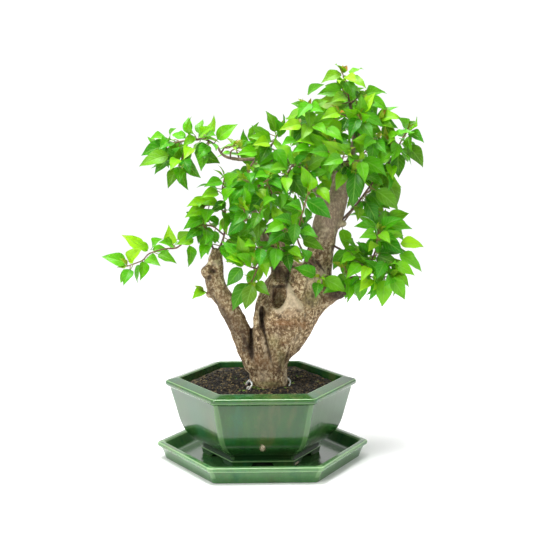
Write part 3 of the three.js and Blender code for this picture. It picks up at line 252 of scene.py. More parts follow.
def seenFrom(points):
    # the other way round: across = eye x + (x - eye x) / share, and up the same with z
    share = 1 - points[:, 1] / eye[1]
    return (eye[0] + (points[:, 0] - eye[0]) / share, eye[2] + (points[:, 2] - eye[2]) / share)


print("stage: frame and camera ready")

# Glaze: celadon-green gloss glaze on stoneware, dipped and fired. It thins to pale lines on the
# edges, pools dark where it runs down, and mirrors the lights softly.


def makeGlaze(name, deep, body, thin, edge, streak):
    material, tree = newMaterial(name)
    place = add(tree, "TexCoord")
    paleLayer = add(tree, "Attribute", attribute_name="pale")
    poolLayer = add(tree, "Attribute", attribute_name="pool")
    # runs of glaze about 9 mm wide, several times as tall
    stretched = add(tree, "Mapping", {"Vector": place.outputs["Object"], "Scale": (1, 1, streak)})
    runs = add(
        tree, "TexNoise", {"Vector": stretched, "Scale": perCell(9.09), "Detail": 4.0, "Roughness": 0.6}
    )
    # clouds about 45 mm across, where the dip was thicker
    clouds = add(
        tree,
        "TexNoise",
        {"Vector": place.outputs["Object"], "Scale": perCell(45.45), "Detail": 3.0, "Roughness": 0.5},
    )
    # fine mottling of 1 to 2 mm, where droplets of glaze have melted together
    mottle = add(
        tree,
        "TexNoise",
        {"Vector": place.outputs["Object"], "Scale": perCell(1.613), "Detail": 2.0, "Roughness": 0.6},
    )
    tone = add(tree, "ValToRGB", {"Fac": runs}, ramp=[(0.28, deep), (0.5, body), (0.78, thin)])
    cloudy = add(tree, "MixRGB", {"Fac": clouds, "Color1": tone, "Color2": body})
    # faint brown clouds, where iron from the clay has come through
    brown = add(tree, "MapRange", {"Value": clouds, "From Min": 0.5, "From Max": 0.7, "To Max": 0.34})
    stained = add(tree, "MixRGB", {"Fac": brown, "Color1": cloudy, "Color2": "#565034"})
    # patches about 20 mm across, from blue-green to olive, where the glaze changed in the kiln
    patches = add(
        tree,
        "TexNoise",
        {"Vector": stretched, "Scale": perCell(21.74), "Detail": 5.0, "Roughness": 0.6},
    )
    kiln = add(
        tree,
        "ValToRGB",
        {"Fac": patches},
        ramp=[(0.36, "#1c5c40"), (0.47, body), (0.55, body), (0.68, "#5c5c36")],
    )
    drifted = add(tree, "MixRGB", {"Fac": 0.45, "Color1": stained, "Color2": kiln})
    speckled = add(
        tree,
        "MixRGB",
        {"Fac": 0.35, "Color1": drifted, "Color2": mottle.outputs["Color"]},
        blend_type="SOFT_LIGHT",
    )
    pooled = add(tree, "MixRGB", {"Fac": poolLayer.outputs["Fac"], "Color1": speckled, "Color2": deep})
    ragged = add(
        tree, "Math", {0: paleLayer.outputs["Fac"], 1: mottle, 2: -0.28}, operation="MULTIPLY_ADD"
    )
    softened = add(
        tree, "Math", {0: paleLayer.outputs["Fac"], 1: ragged}, operation="MAXIMUM", use_clamp=True
    )
    edged = add(tree, "MixRGB", {"Fac": softened, "Color1": pooled, "Color2": edge})
    ripple = add(tree, "Bump", {"Height": runs, "Strength": 0.12, "Distance": 0.0015})
    pits = add(tree, "Bump", {"Height": mottle, "Strength": 0.08, "Distance": 0.0004, "Normal": ripple})
    return material, tree, edged, pits, mottle, place


def finishGlaze(tree, colour, normal):
    shader = add(
        tree,
        "BsdfPrincipled",
        {
            "Base Color": colour,
            "Roughness": 0.16,
            "IOR": 1.52,
            "Coat Weight": 0.22,
            "Coat Roughness": 0.05,
            "Coat IOR": 1.5,
            "Normal": normal,
        },
    )
    add(tree, "OutputMaterial", {"Surface": shader})


# Hexagons with rounded corners


def hexagon(sideSteps, arcSteps):
    # for each point of the outline: where it lies on a unit hexagon, which way its rounding
    # pushes it out, and how far it is from the middle of the side (0) towards the corner (1)
    corner, outward, share = [], [], []
    for k in range(6):
        here = np.array([math.cos(k * math.pi / 3), math.sin(k * math.pi / 3)])
        there = np.array([math.cos((k + 1) * math.pi / 3), math.sin((k + 1) * math.pi / 3)])
        for step in range(arcSteps + 1):
            angle = (k * 2 - 1 + 2 * step / arcSteps) * math.pi / 6
            corner.append(here)
            outward.append([math.cos(angle), math.sin(angle)])
            share.append(1.0)
        angle = (2 * k + 1) * math.pi / 6
        for step in range(1, sideSteps):
            mix = 0.5 - 0.5 * math.cos(math.pi * step / sideSteps)  # closer near the corners
            corner.append(here * (1 - mix) + there * mix)
            outward.append([math.cos(angle), math.sin(angle)])
            share.append(abs(2 * mix - 1))
    return np.array(corner), np.array(outward), np.array(share)


def softProfile(rows, steps=4):
    # rows of (radius, z, rounding, cut, pale, pool) round a closed section: the corner at each
    # row is cut by its fourth value, in mm, and rounded with a quadratic curve
    rows = np.asarray(rows, float)
    before, after = np.roll(rows, 1, axis=0), np.roll(rows, -1, axis=0)
    toBefore = np.linalg.norm((before - rows)[:, :2], axis=1)
    toAfter = np.linalg.norm((after - rows)[:, :2], axis=1)
    cutBack = np.minimum(rows[:, 3], 0.49 * toBefore) / toBefore
    cutOn = np.minimum(rows[:, 3], 0.49 * toAfter) / toAfter
    start = rows + (before - rows) * cutBack[:, None]
    end = rows + (after - rows) * cutOn[:, None]
    t = np.linspace(0, 1, steps + 1)[None, :, None]
    curve = (1 - t) ** 2 * start[:, None] + 2 * t * (1 - t) * rows[:, None] + t**2 * end[:, None]
    # pale is the row's own value at the corner itself, and fades to nothing where the curve ends
    curve[..., 4] = rows[:, 4:5] * (4 * t * (1 - t))[..., 0]
    return curve.reshape(-1, rows.shape[1])


def hexSurface(profile, outline, centreX=0.0):
    # (radius - 2 rounding / sqrt 3) on the unit hexagon plus the rounding outwards, at each z
    corner, outward, _ = outline
    radius, z, rounding = profile[:, 0], profile[:, 1], profile[:, 2]
    inset = radius - 2 * rounding / math.sqrt(3)
    flat = inset[:, None, None] * corner + rounding[:, None, None] * outward
    height = np.broadcast_to(z[:, None, None], flat.shape[:2] + (1,))
    points = np.concatenate([flat, height], axis=2)
    points[..., 0] += centreX
    return points


# Saucer
saucerShape = {
    "radius": 110.8,
    "shiftX": 1.7,
    "floor": 5.0,
    "rim": 17.6,
}


def makeSaucer():
    r, floor, rim = saucerShape["radius"], saucerShape["floor"], saucerShape["rim"]
    # radius, height, rounding, cut, pale, pool
    rows = [
        [r - 9.3, 0, 5, 0.8, 0.2, 0.4],
        [r - 7, 6.5, 5, 9, 0.0, 0.35],
        [r - 4.4, 11.2, 5, 9, 0.0, 0.3],
        [r - 3.6, 12.6, 5, 0.6, 0.1, 0.5],
        [r - 0.9, 13.2, 6, 1.2, 0.7, 0.0],
        [r, 15.3, 6, 2, 0.1, 0.0],
        [r - 0.8, rim, 6, 1.4, 0.75, 0.0],
        [r - 6.5, rim + 0.4, 5, 1.5, 0.25, 0.0],
        [r - 8.3, rim - 0.6, 5, 1.2, 0.75, 0.0],
        [r - 13, 9, 5, 6, 0.0, 0.2],
        [r - 16, floor + 0.6, 5, 3, 0.0, 0.55],
        [r - 22, floor, 5, 4, 0.0, 0.3],
        [30, floor, 5, 4, 0.0, 0.15],
        [2, floor, 1, 0.1, 0.0, 0.15],
        [2, 1.6, 1, 0.1, 0.0, 0.0],
        [r - 20, 1.6, 5, 1, 0.0, 0.0],
        [r - 19, 0, 5, 0.6, 0.0, 0.0],
    ]
    outline = hexagon(16, 6)
    profile = softProfile(rows)
    points = hexSurface(profile, outline, saucerShape["shiftX"])
    pale = np.broadcast_to(profile[:, 4:5], points.shape[:2]).copy()
    pool = np.broadcast_to(profile[:, 5:6], points.shape[:2])
    # the glaze also draws off the upright corners
    pale += 0.25 * smoothStep(0.985, 1.0, outline[2])[None] * (profile[:, 1:2] > 6)
    material, tree, colour, normal, _, _ = makeGlaze(
        "celadonGlazeSaucer", "#1a491c", "#457340", "#648c50", "#95b884", 0.35
    )
    faces = gridFaces(*points.shape[:2], loopRows=True, loopColumns=True)
    finishGlaze(tree, colour, normal)
    makePiece(
        "saucer_glazed",
        points,
        faces,
        material,
        ["saucer"],
        {"pale": np.clip(pale, 0, 1), "pool": pool},
    )


makeSaucer()
print("stage: saucer")

# Pot
potShape = {
    "rim": 100.0,
    "foot": 62.0,
    "footBottom": 5.3,
    "footTop": 10.7,
    "notchHalf": (7.5, 12.5),  # half width of the gap between two feet, at its top and bottom
    "inside": 18.0,
    # where the glaze has flaked off, on the front wall and on a foot: the place, and how fast the
    # patch ends along x, y and z, in shares per mm
    "bare": [((-0.5, -68.6, 29.4), (0.3, 0.12, 0.17)), ((34.9, -46.4, 7.2), (0.2, 0.2, 0.6))],
}


def makePot():
    rim, foot = potShape["rim"], potShape["foot"]
    low, top = potShape["footBottom"], potShape["footTop"]
    # radius, height, rounding, cut, pale, pool
    rows = [
        [foot - 14, top, 2.5, 1.5, 0, 0.4],
        [foot - 13, low, 2.5, 0.8, 0.3, 0.2],
        [foot - 0.6, low, 2.5, 0.9, 0.5, 0.2],
        [foot + 0.1, top - 0.4, 2.5, 0.5, 0, 0.6],
        [foot + 1.3, top + 0.5, 2.6, 0.5, 0.8, 0],
        [foot + 1.1, 12.0, 2.5, 0.6, 0.75, 0],
        [foot - 1.2, 12.8, 2.5, 0.5, 0, 0.9],
        [foot + 0.8, 16.5, 6, 3, 0, 0.75],
        [72.5, 22.5, 6, 9, 0, 0.6],
        [80.5, 30, 6, 9, 0, 0.42],
        [85.6, 41, 6, 9, 0, 0.28],
        [88.8, 53, 6, 9, 0, 0.15],
        [92.2, 65, 6, 9, 0, 0.08],
        [95.4, 76.4, 5, 0.8, 0, 0.5],
        [rim - 2.4, 77.2, 6, 0.9, 0.35, 0.2],
        [rim - 0.3, 78.6, 6, 0.9, 0.35, 0],
        [rim, 81.4, 6, 1.8, 0.1, 0],
        [rim - 1.2, 83.2, 6, 0.9, 0.8, 0],
        [rim - 13.8, 86, 3, 0.9, 0.65, 0],
        [rim - 15.2, 85.2, 3, 0.7, 0.6, 0],
        [rim - 15.8, 77, 3, 3, 0, 0.3],
        [83, 62, 3, 5, 0, 0.3],
        [77.5, 42, 3, 5, 0, 0.3],
        [67.5, 25, 3, 5, 0, 0.3],
        [54, potShape["inside"], 3, 2, 0, 0.3],
        [8, potShape["inside"], 6.5, 1, 0, 0.3],
        [7, top, 6, 1, 0, 0.3],
    ]
    outline = hexagon(22, 6)
    profile = softProfile(rows)
    points = hexSurface(profile, outline)
    # the feet stand under the corners: the bottom edge rises in the middle of each side
    side = outline[2][None] * (points[..., :2] ** 2).sum(-1) ** 0.5 * 0.5
    gap = 1 - smoothStep(potShape["notchHalf"][0], potShape["notchHalf"][1], side)
    isFoot = (profile[:, 1] < top - 0.2)[:, None]
    lift = (top - points[..., 2]) * gap * isFoot * 0.98
    points[..., 2] += lift
    pale = np.broadcast_to(profile[:, 4:5], points.shape[:2]).copy()
    pool = np.broadcast_to(profile[:, 5:6], points.shape[:2])
    # on the wall the glaze also draws off the upright corners
    upright = (profile[:, 1:2] > 13) & (profile[:, 1:2] < 77)
    pale += 0.24 * smoothStep(0.985, 1.0, outline[2])[None] * upright
    material, tree, colour, normal, mottle, place = makeGlaze(
        "celadonGlazePot", "#0e3512", "#255120", "#426c2c", "#7ea56c", 0.22
    )
    # bare stoneware where the glaze has flaked, with a ragged edge and dark specks
    for spot, ending in potShape["bare"]:
        centred = add(
            tree,
            "VectorMath",
            {0: place.outputs["Object"], 1: [-x * mm for x in spot]},
            operation="ADD",
        )
        scaled = add(
            tree, "VectorMath", {0: centred, 1: [x / mm for x in ending]}, operation="MULTIPLY"
        )
        far = add(tree, "VectorMath", {0: scaled}, operation="LENGTH")
        ragged = add(
            tree, "Math", {0: mottle, 1: 2.4, 2: far.outputs["Value"]}, operation="MULTIPLY_ADD"
        )
        inside = add(tree, "Math", {0: ragged, 1: 2.0}, operation="LESS_THAN")
        stone = add(
            tree,
            "ValToRGB",
            {"Fac": mottle},
            ramp=[(0.36, "#4a3b2b"), (0.46, "#b9a68c"), (0.7, "#e2d2bb")],
        )
        colour = add(tree, "MixRGB", {"Fac": inside, "Color1": colour, "Color2": stone})
    finishGlaze(tree, colour, normal)
    faces = gridFaces(*points.shape[:2], loopRows=True, loopColumns=True)
    makePiece(
        "pot_glazed",
        points,
        faces,
        material,
        ["pot"],
        {"pale": np.clip(pale, 0, 1), "pool": pool},
    )


makePot()
print("stage: pot")

# Soil: damp, dark potting mix with loose crumbs, a little moss and green scraps
soilShape = {
    "level": 77.0,
    "top": 82.6,  # corner radius of its surface, inside the pot
    "grains": 4200,
    "grainReach": 68.0,  # radius of the round within which they lie
    "mossTufts": 520,
    "mossRing": (21, 27),  # radii, round the foot of the trunk
    # green scraps on the soil: x, y, how many pieces and how wide they lie
    "scraps": [(-27, 27, 14, 2.2), (-19.5, -24, 22, 2.0), (40, 30, 16, 2.4), (58, 8, 8, 1.4)],
    "trunkAt": (8.0, 0.0),
}


def soilHeight(x, y):
    # the level, a slope up to the back, a mound round the trunk and low waves
    nearTrunk = np.exp(-((x - soilShape["trunkAt"][0]) ** 2 + y * y) / 900)
    lumps = np.sin(x * 0.21 + 1) * np.cos(y * 0.17) * 0.5
    return soilShape["level"] + 0.035 * y + 2 * nearTrunk + lumps


def roughHeight(x, y):
    # the same with two sizes of crumb on it, 4.2 and 1.9 mm apart
    points = np.stack([x, y, np.zeros_like(x)], axis=-1).reshape(-1, 3)
    rough = 0.55 * noise(points, 4.2, 3) + 0.4 * noise(points, 1.9, 4)
    return soilHeight(x, y) + rough.reshape(x.shape)


def makeSoilMaterial():
    # damp potting mix: crumbs of 1 to 3 mm from near black to warm brown, matt
    material, tree = newMaterial("dampPottingMix")
    place = add(tree, "TexCoord")
    cells = add(tree, "TexVoronoi", {"Vector": place.outputs["Object"], "Scale": perCell(1.923)})
    clods = add(
        tree,
        "TexNoise",
        {"Vector": place.outputs["Object"], "Scale": perCell(7.143), "Detail": 5.0, "Roughness": 0.65},
    )
    # each crumb has a tone of its own, darker in the damp hollows
    ownTone = add(tree, "RGBToBW", {"Color": cells.outputs["Color"]})
    wetness = add(tree, "Math", {0: ownTone, 1: 0.6, 2: clods}, operation="MULTIPLY_ADD")
    mixed = add(
        tree,
        "ValToRGB",
        {"Fac": wetness},
        ramp=[(0.62, "#070503"), (0.82, "#201a10"), (0.96, "#453a22"), (1.0, "#776643")],
    )
    bump = add(tree, "Bump", {"Height": cells, "Strength": 0.7, "Distance": 0.001})
    shader = add(tree, "BsdfPrincipled", {"Base Color": mixed, "Roughness": 0.85, "Normal": bump})
    add(tree, "OutputMaterial", {"Surface": shader})
    return material


def makeMoss():
    # moss and green scraps: matt, from olive to fresh yellow-green
    material, tree = newMaterial("freshMoss")
    place = add(tree, "TexCoord")
    tufts = add(
        tree, "TexNoise", {"Vector": place.outputs["Object"], "Scale": perCell(2.5), "Detail": 3.0}
    )
    tone = add(
        tree, "ValToRGB", {"Fac": tufts}, ramp=[(0.35, "#33450f"), (0.5, "#5e7c22"), (0.66, "#93ad4e")]
    )
    shader = add(tree, "BsdfPrincipled", {"Base Color": tone, "Roughness": 0.8})
    add(tree, "OutputMaterial", {"Surface": shader})
    return material


def crumbs(centres, sizes, flatness=0.75):
    # a twelve-cornered ball of twenty faces at each centre, its corners pushed in and out and the
    # whole turned by chance
    g = (1 + 5**0.5) / 2
    corners = unit(
        np.array(
            [[-1, g, 0], [1, g, 0], [-1, -g, 0], [1, -g, 0], [0, -1, g], [0, 1, g]]
            + [[0, -1, -g], [0, 1, -g], [g, 0, -1], [g, 0, 1], [-g, 0, -1], [-g, 0, 1]],
            float,
        )
    )
    sides = np.array(
        [[0, 11, 5], [0, 5, 1], [0, 1, 7], [0, 7, 10], [0, 10, 11], [1, 5, 9], [5, 11, 4]]
        + [[11, 10, 2], [10, 7, 6], [7, 1, 8], [3, 9, 4], [3, 4, 2], [3, 2, 6], [3, 6, 8]]
        + [[3, 8, 9], [4, 9, 5], [2, 4, 11], [6, 2, 10], [8, 6, 7], [9, 8, 1]]
    )
    count = len(centres)
    turn = np.linalg.qr(draws.normal(size=(count, 3, 3)))[0]
    turn *= np.sign(np.linalg.det(turn))[:, None, None]
    rough = draws.uniform(0.7, 1.25, (count, 12, 1))
    stretch = draws.uniform(0.6, 1.3, (count, 1, 3))
    ball = np.einsum("nij,nkj->nki", turn, corners[None] * rough * stretch)
    ball[..., 2] *= flatness
    points = centres[:, None] + ball * np.asarray(sizes)[:, None, None]
    faces = (sides[None] + 12 * np.arange(count)[:, None, None]).reshape(-1, 3)
    return points.reshape(-1, 3), faces


def makeSoil():
    material = makeSoilMaterial()
    outline = hexagon(14, 3)
    corner, outward, _ = outline
    shares = np.concatenate([np.linspace(0.02, 0.96, 44), [1.0]])
    # the edge is a hexagon rounded by 3 mm, repeated inwards in equal shares
    flat = shares[:, None, None] * ((soilShape["top"] - 3.5) * corner + 3 * outward)
    x, y = flat[..., 0], flat[..., 1]
    top = np.stack([x, y, roughHeight(x, y)], axis=-1)
    # below the surface the soil follows the wall of the pot down to its floor
    wall = [[82, 66, 3], [76.4, 42, 3], [66, 24.5, 3], [53, 18.4, 3], [4, 18.4, 3]]
    below = hexSurface(np.array([row + [0, 0, 0] for row in wall], float), outline)
    rings = np.concatenate([top, below])
    faces = gridFaces(*rings.shape[:2], loopColumns=True)
    count = rings.shape[1]
    last = (len(rings) - 1) * count
    faces = faces.tolist()
    faces += [list(range(count))[::-1], list(range(last, last + count))]
    makePiece("soil_surface", rings, [face[::-1] for face in faces], material, ["soil"])
    # loose grains and crumbs, half sunk
    angle = draws.uniform(0, 2 * math.pi, soilShape["grains"])
    radius = soilShape["grainReach"] * draws.uniform(0, 1, soilShape["grains"]) ** 0.5
    x, y = radius * np.cos(angle), radius * np.sin(angle)
    size = draws.uniform(0.5, 1.1, len(x)) + 1.2 * draws.uniform(0, 1, len(x)) ** 6
    centres = np.stack([x, y, roughHeight(x, y) + 0.25 * size], axis=-1)
    points, faces = crumbs(centres, size)
    makePiece("soil_grains", points, faces, material)
    # moss in small cushions round the foot of the trunk, and green scraps here and there
    count = soilShape["mossTufts"]
    angle = draws.uniform(0, 2 * math.pi, count) + 0.5 * np.sin(3 * draws.uniform(0, 6, count))
    radius = draws.uniform(*soilShape["mossRing"], count)
    x = soilShape["trunkAt"][0] + radius * np.cos(angle)
    y = soilShape["trunkAt"][1] + radius * np.sin(angle) * 0.9
    lying = noise(np.stack([x, y, 0 * x], axis=-1), 9, 41) > 0.05
    x, y = x[lying], y[lying]
    for scrapX, scrapY, many, wide in soilShape["scraps"]:
        x = np.append(x, scrapX + wide * draws.normal(size=many))
        y = np.append(y, scrapY + wide * draws.normal(size=many))
    size = draws.uniform(0.5, 1.1, len(x))
    centres = np.stack([x, y, roughHeight(x, y) + 0.5 * size], axis=-1)
    points, faces = crumbs(centres, size, 0.6)
    makePiece("soil_moss", points, faces, makeMoss())


makeSoil()
print("stage: soil")

# Trunk: each limb as stops of (across, up, depth, width, thickness), from its root to its end
limbs = {
    "bole": [
        (9, 48, 0, 34, 30), (8, 70, 0, 32, 31), (8, 80, 0, 39, 36), (7, 91, 0, 41, 37),
        (6, 102, 0, 45, 38), (9, 113, 0, 46, 40), (16, 127, 0, 54, 44), (22, 141, 0, 61, 47),
        (26, 155, 1, 66, 48), (32, 168, 2, 65, 47), (38, 181, 3, 62, 44), (41, 194, 3, 59, 40),
        (43, 203, 3, 48, 34),
    ],
    "leader": [
        (48, 176, 3, 38, 36), (56, 196, 4, 32, 32), (60, 212, 5, 27, 27), (63, 228, 6, 27, 26),
        (66, 243, 7, 28, 26), (72, 258, 7, 27, 25), (78, 272, 7, 21, 21), (81, 286, 7, 18, 18),
        (85, 303, 7, 15, 15),
    ],
    "leftBranch": [
        (-5, 96, 0, 24, 26), (-12, 112, -1, 23, 24), (-18, 127, -1, 21, 22),
        (-24, 142, -1, 20, 21), (-32, 157, -1, 19.5, 20), (-41, 172, -1, 19, 19),
        (-48, 186, 0, 20, 19), (-47, 200, 0, 17, 17), (-45, 220, 0, 11, 11),
    ],
    "rightStump": [
        (48, 152, 0, 24, 26), (64, 165, -1, 17, 18), (78, 176, -3, 19, 19), (90, 181.5, -6, 18, 17),
    ],
    "innerBranch": [
        (22, 192, 8, 18, 18), (12, 212, 10, 12, 12), (4, 230, 11, 10, 10), (-3, 247, 12, 8, 8),
        (-8, 264, 13, 6, 6), (-8, 284, 14, 3.6, 3.6),
    ],
    "shelfBranch": [
        (70, 262, 6, 9, 9), (60, 273, 4, 7, 7), (51, 286, 2, 6, 6), (46, 297, 1, 5.4, 5.4),
        (36, 307, 1, 5, 5), (18, 310, 2, 4.6, 4.6), (-4, 311, 3, 4.2, 4.2),
        (-24, 311, 2, 4, 4), (-38, 315, 1, 3.6, 3.6), (-45, 326, 0, 3, 3),
    ],
    "crownBranch": [
        (84, 298, 5, 9, 9), (76, 314, 2, 7, 7), (66, 328, 0, 6, 6), (58, 342, -2, 4, 4),
    ],
    "crownLeader": [
        (86, 298, 9, 9, 9), (92, 316, 8, 7, 7), (95, 334, 6, 6, 6), (93, 350, 4, 5, 5),
        (90, 366, 2, 3.2, 3.2),
    ],
    "backBranch": [
        (70, 240, 14, 12, 12), (74, 258, 26, 8, 8), (76, 278, 36, 6.5, 6.5),
        (72, 300, 42, 5.5, 5.5), (66, 322, 46, 3.6, 3.6),
    ],
    "backLow": [
        (30, 196, 14, 12, 12), (24, 214, 26, 8, 8), (20, 234, 36, 6.5, 6.5), (18, 256, 42, 4.6, 4.6),
    ],
    "rib": [
        (6, 104, -14, 9, 10), (-1, 122, -16, 9, 10), (-4, 138, -15, 8.5, 10),
        (-4, 152, -12, 8, 10), (3, 168, -10, 7, 9),
    ],
}
# swellings (across, up, depth, half width, half depth, half height)
knobs = [
    (-52.5, 196, -2, 8.5, 9.5, 9.5), (-52, 173, -2, 4, 4, 4), (82, 245, 5, 5, 4.5, 3.5),
    (25, 151, -15, 15, 8, 8), (50, 167, -12, 13, 10, 11), (64, 193, -1, 8, 9, 9),
    (12, 116, -9, 12, 10, 12),
]
# the lip round the main hollow: where it is thickest, seen as an angle, how far out it runs and
# how wide it is, as shares of the hollow's own size, and its height
lip = {"turn": -0.75, "at": 1.18, "width": 0.17, "rise": 3.2}
# pits pressed into the front, which rot or old cuts have left: (across, up, half width,
# half height, slant, depth)
pits = [
    (20, 169.5, 8, 12.5, 0.12, 10), (22, 193, 9, 9, 0.05, 6), (31, 190, 3, 8, 0.1, 4),
    (0.6, 151, 2.3, 8, 0.0, 7), (2.4, 138, 1.7, 9, -0.15, 4.5), (5.4, 125, 1.5, 9, -0.2, 3),
    (8.8, 111, 1.5, 9, -0.2, 2), (-10.2, 130, 2.0, 14, 0.0, 5), (-50, 197, 3.2, 2.4, -0.4, 3),
    (44, 208, 9, 3, 0.1, 3),
]
# relief on the front of the wood: (across, up, half width, half height, slant, height in mm)
relief = [
    # the cleft under the left branch, and the rib
    (-9.6, 116, 1.6, 9, 0.0, -3.0), (-4.4, 148, 2.2, 15, 0.0, 1.6), (-1.0, 120, 2.2, 14, -0.2, 1.4),
    # the lip round the hollow and the ridge beside it
    (9.6, 172, 2.0, 10, 0.05, 2.2), (29.5, 180, 1.8, 4, -0.3, 2.4), (34, 169, 2.6, 7, -0.5, 3.0),
    (39, 160, 3.0, 5, -0.4, 2.2), (31, 161, 4.5, 6, 0.0, 2.2),
    # the upright folds to the right of it
    (62, 190, 1.5, 11, 0.1, 1.2), (58, 187, 1.4, 11, 0.1, -1.3), (53.5, 184, 1.6, 11, 0.15, 1.1),
    (49, 186, 1.3, 9, 0.15, -1.1), (44, 183, 2.0, 9, 0.1, 1.0), (44, 172, 1.6, 5, 0.6, -1.4),
    (58, 160, 1.5, 7, 0.5, -1.2), (54, 152, 2.0, 7, 0.6, 1.0),
    # ridges left standing in the rotten top
    (18, 190, 1.2, 9, 0.05, 1.6), (24, 188, 1.2, 11, 0.1, -1.8), (31, 191, 1.2, 10, 0.15, 1.6),
    # folds of the foot
    (22, 153, 5, 3, 0.0, 1.2), (32, 126, 6, 4, 0.0, 1.5), (16, 122, 6, 4, 0.0, 1.2),
    (38, 134, 7, 3, 0.3, 1.0), (10, 96, 3, 14, 0.1, 1.6), (20, 98, 1.8, 16, 0.05, -1.6),
    (-4, 94, 1.8, 12, 0.1, -1.4), (27, 108, 1.8, 12, 0.3, -1.4), (14, 84, 3, 8, 0.0, 1.0),
    # the scarred knob at the top of the left branch
    (-49, 197, 3.4, 2.4, -0.4, -2.2), (-53, 190, 2.6, 3.0, 0.3, -2.0), (-45, 204, 4, 2, 0.2, 1.4),
    (-56, 172, 2, 2, 0.0, 1.0), (-52, 168, 2.0, 1.6, 0.0, -1.2),
]
# colour spots on the front: (across, up, half width, half height, slant, amount)
# dark spots: rot on the scars, and painted shade in the pits, clefts and grooves and along the left
# branch's lower side
rotAndShadeSpots = [
    (0.6, 151, 2.2, 8, 0.0, 1.4), (2.4, 138, 1.5, 8, -0.15, 0.9), (5.4, 124, 1.4, 9, -0.2, 0.6),
    (8.8, 110, 1.4, 9, -0.2, 0.5), (-10.2, 128, 1.9, 12, 0.0, 0.9), (-9.6, 112, 2, 8, 0.0, 0.6),
    (19, 171, 7, 10, 0.1, 0.34), (18, 180.5, 8, 1.8, 0.1, 0.7), (12.5, 172, 1.5, 8, 0.0, 0.5),
    (22, 193, 11, 9, 0.1, 0.5), (27, 188, 2, 9, 0.1, 0.6), (16, 200, 5, 6, 0.0, 0.6),
    (59, 203, 1.4, 6, -0.6, 0.9), (63, 199, 1.0, 5, -0.6, 0.8), (50, 205, 8, 3, 0.0, 0.5),
    (20, 98, 1.6, 14, 0.05, 0.5), (27, 108, 1.6, 12, 0.3, 0.5), (44, 172, 1.4, 5, 0.6, 0.5),
    (80, 174, 13, 9, 0.4, 1.0), (90, 181, 7, 10, 0.0, 0.9), (-49, 197, 3.2, 2.2, -0.4, 0.9),
    (-53, 190, 2.4, 2.8, 0.3, 0.8), (-30, 150, 14, 46, -0.5, 0.3), (-38, 150, 4, 40, -0.5, 0.3),
    (-14, 118, 3, 16, -0.4, 0.5), (24, 139, 14, 0.9, 0.0, 0.5), (26, 134, 12, 0.9, 0.0, 0.4),
    (26, 145, 12, 0.8, 0.0, 0.4), (6, 100, 8, 10, 0.2, 0.35), (46, 150, 4, 10, 0.4, 0.25),
    (6, 184, 6, 14, 0.0, 0.35), (8, 158, 4, 14, 0.0, 0.25),
]
paleSpots = [
    (33, 170, 3.4, 10, -0.5, 1.0), (40, 161, 4, 5, -0.3, 0.8), (30, 179, 1.8, 4, -0.3, 0.8),
    (31, 161, 5, 5, 0.0, 0.8), (34, 152, 7, 4, 0.0, 0.4),
    (10.5, 172, 2.2, 9, 0.1, 0.4), (53, 186, 9, 12, 0.1, 0.6), (64, 193, 5, 9, 0.0, 0.7),
    (84, 245, 4, 3, 0.0, 0.9), (70, 161, 8, 1.8, 0.5, 0.6), (66, 236, 7, 26, 0.25, 0.3),
    (27, 84, 5, 14, 0.0, 0.6), (2, 86, 8, 9, 0.0, 0.5), (36, 124, 7, 8, 0.3, 0.4),
    (-2, 152, 2, 12, 0.0, 0.6), (3, 118, 2.4, 12, -0.2, 0.6), (-46, 205, 6, 4, 0.0, 0.7),
    (-56, 171, 3, 3, 0.0, 0.8), (16, 128, 6, 8, 0.0, 0.4), (24, 150, 9, 4, 0.0, 0.4),
]
rustSpots = [
    (24, 142, 14, 5, 0.0, 0.75), (6, 100, 6, 8, 0.0, 0.5), (22, 121, 5, 4, 0.0, 0.45),
    (44, 140, 6, 6, 0.0, 0.5), (30, 152, 9, 4, 0.0, 0.5), (-4, 104, 6, 8, 0.0, 0.5),
    (17, 196, 6, 8, 0.0, 0.4),
]
# olive green, where the bark stays damp
algaeSpots = [
    (13, 123, 9, 8, 0.0, 0.55), (20, 108, 7, 8, 0.0, 0.5), (22, 98, 4, 8, 0.0, 0.4),
    (50, 166, 11, 11, 0.0, 0.6), (8, 78, 16, 4, 0.0, 0.7), (56, 178, 8, 14, 0.0, 0.4),
    (19, 167, 6, 8, 0.0, 0.45),
]
barkShape = {
    "voxel": 1.0,
    "sides": 28,
    "relief": (-5.5, 3.8),  # the deepest and the highest that all relief together goes
    "swirl": (50, 166, 3.8, 8.0, 0.4),  # across, up, ring spacing, reach, height
    "wrinkles": (26, 138, 17, 9, 3.6, 0.8),  # across, up, half width, half height, spacing, height
}


def spots(points, front, rows):
    # sum of amount exp(-(a/w)^2 - (u/h)^2) of each row, turned by its slant, as seen from the front
    across, up = seenFrom(points)
    total = np.zeros(len(points))
    for row in rows:
        u = up - row[1]
        a = across - row[0] - row[4] * u
        total += row[5] * np.exp(-((a / row[2]) ** 2) - (u / row[3]) ** 2)
    return total * front


def ballPoints(row):
    # an upright ball: half width sin p cos q, half depth sin p sin q, half height cos p
    across, up, depth, halfWidth, halfDepth, halfHeight = row
    rings, around = 14, 28
    polar = np.linspace(0.02, math.pi - 0.02, rings)[:, None]
    turn = np.linspace(0, 2 * math.pi, around, endpoint=False)[None, :]
    ball = np.stack(
        [
            halfWidth * np.sin(polar) * np.cos(turn),
            halfDepth * np.sin(polar) * np.sin(turn),
            halfHeight * np.cos(polar) * np.ones_like(turn),
        ],
        axis=-1,
    )
    points = seen([across, up, depth]) + ball.reshape(-1, 3)
    faces = gridFaces(rings, around, loopColumns=True).tolist()
    faces += [list(range(around))[::-1], list(range((rings - 1) * around, rings * around))]
    return points, faces


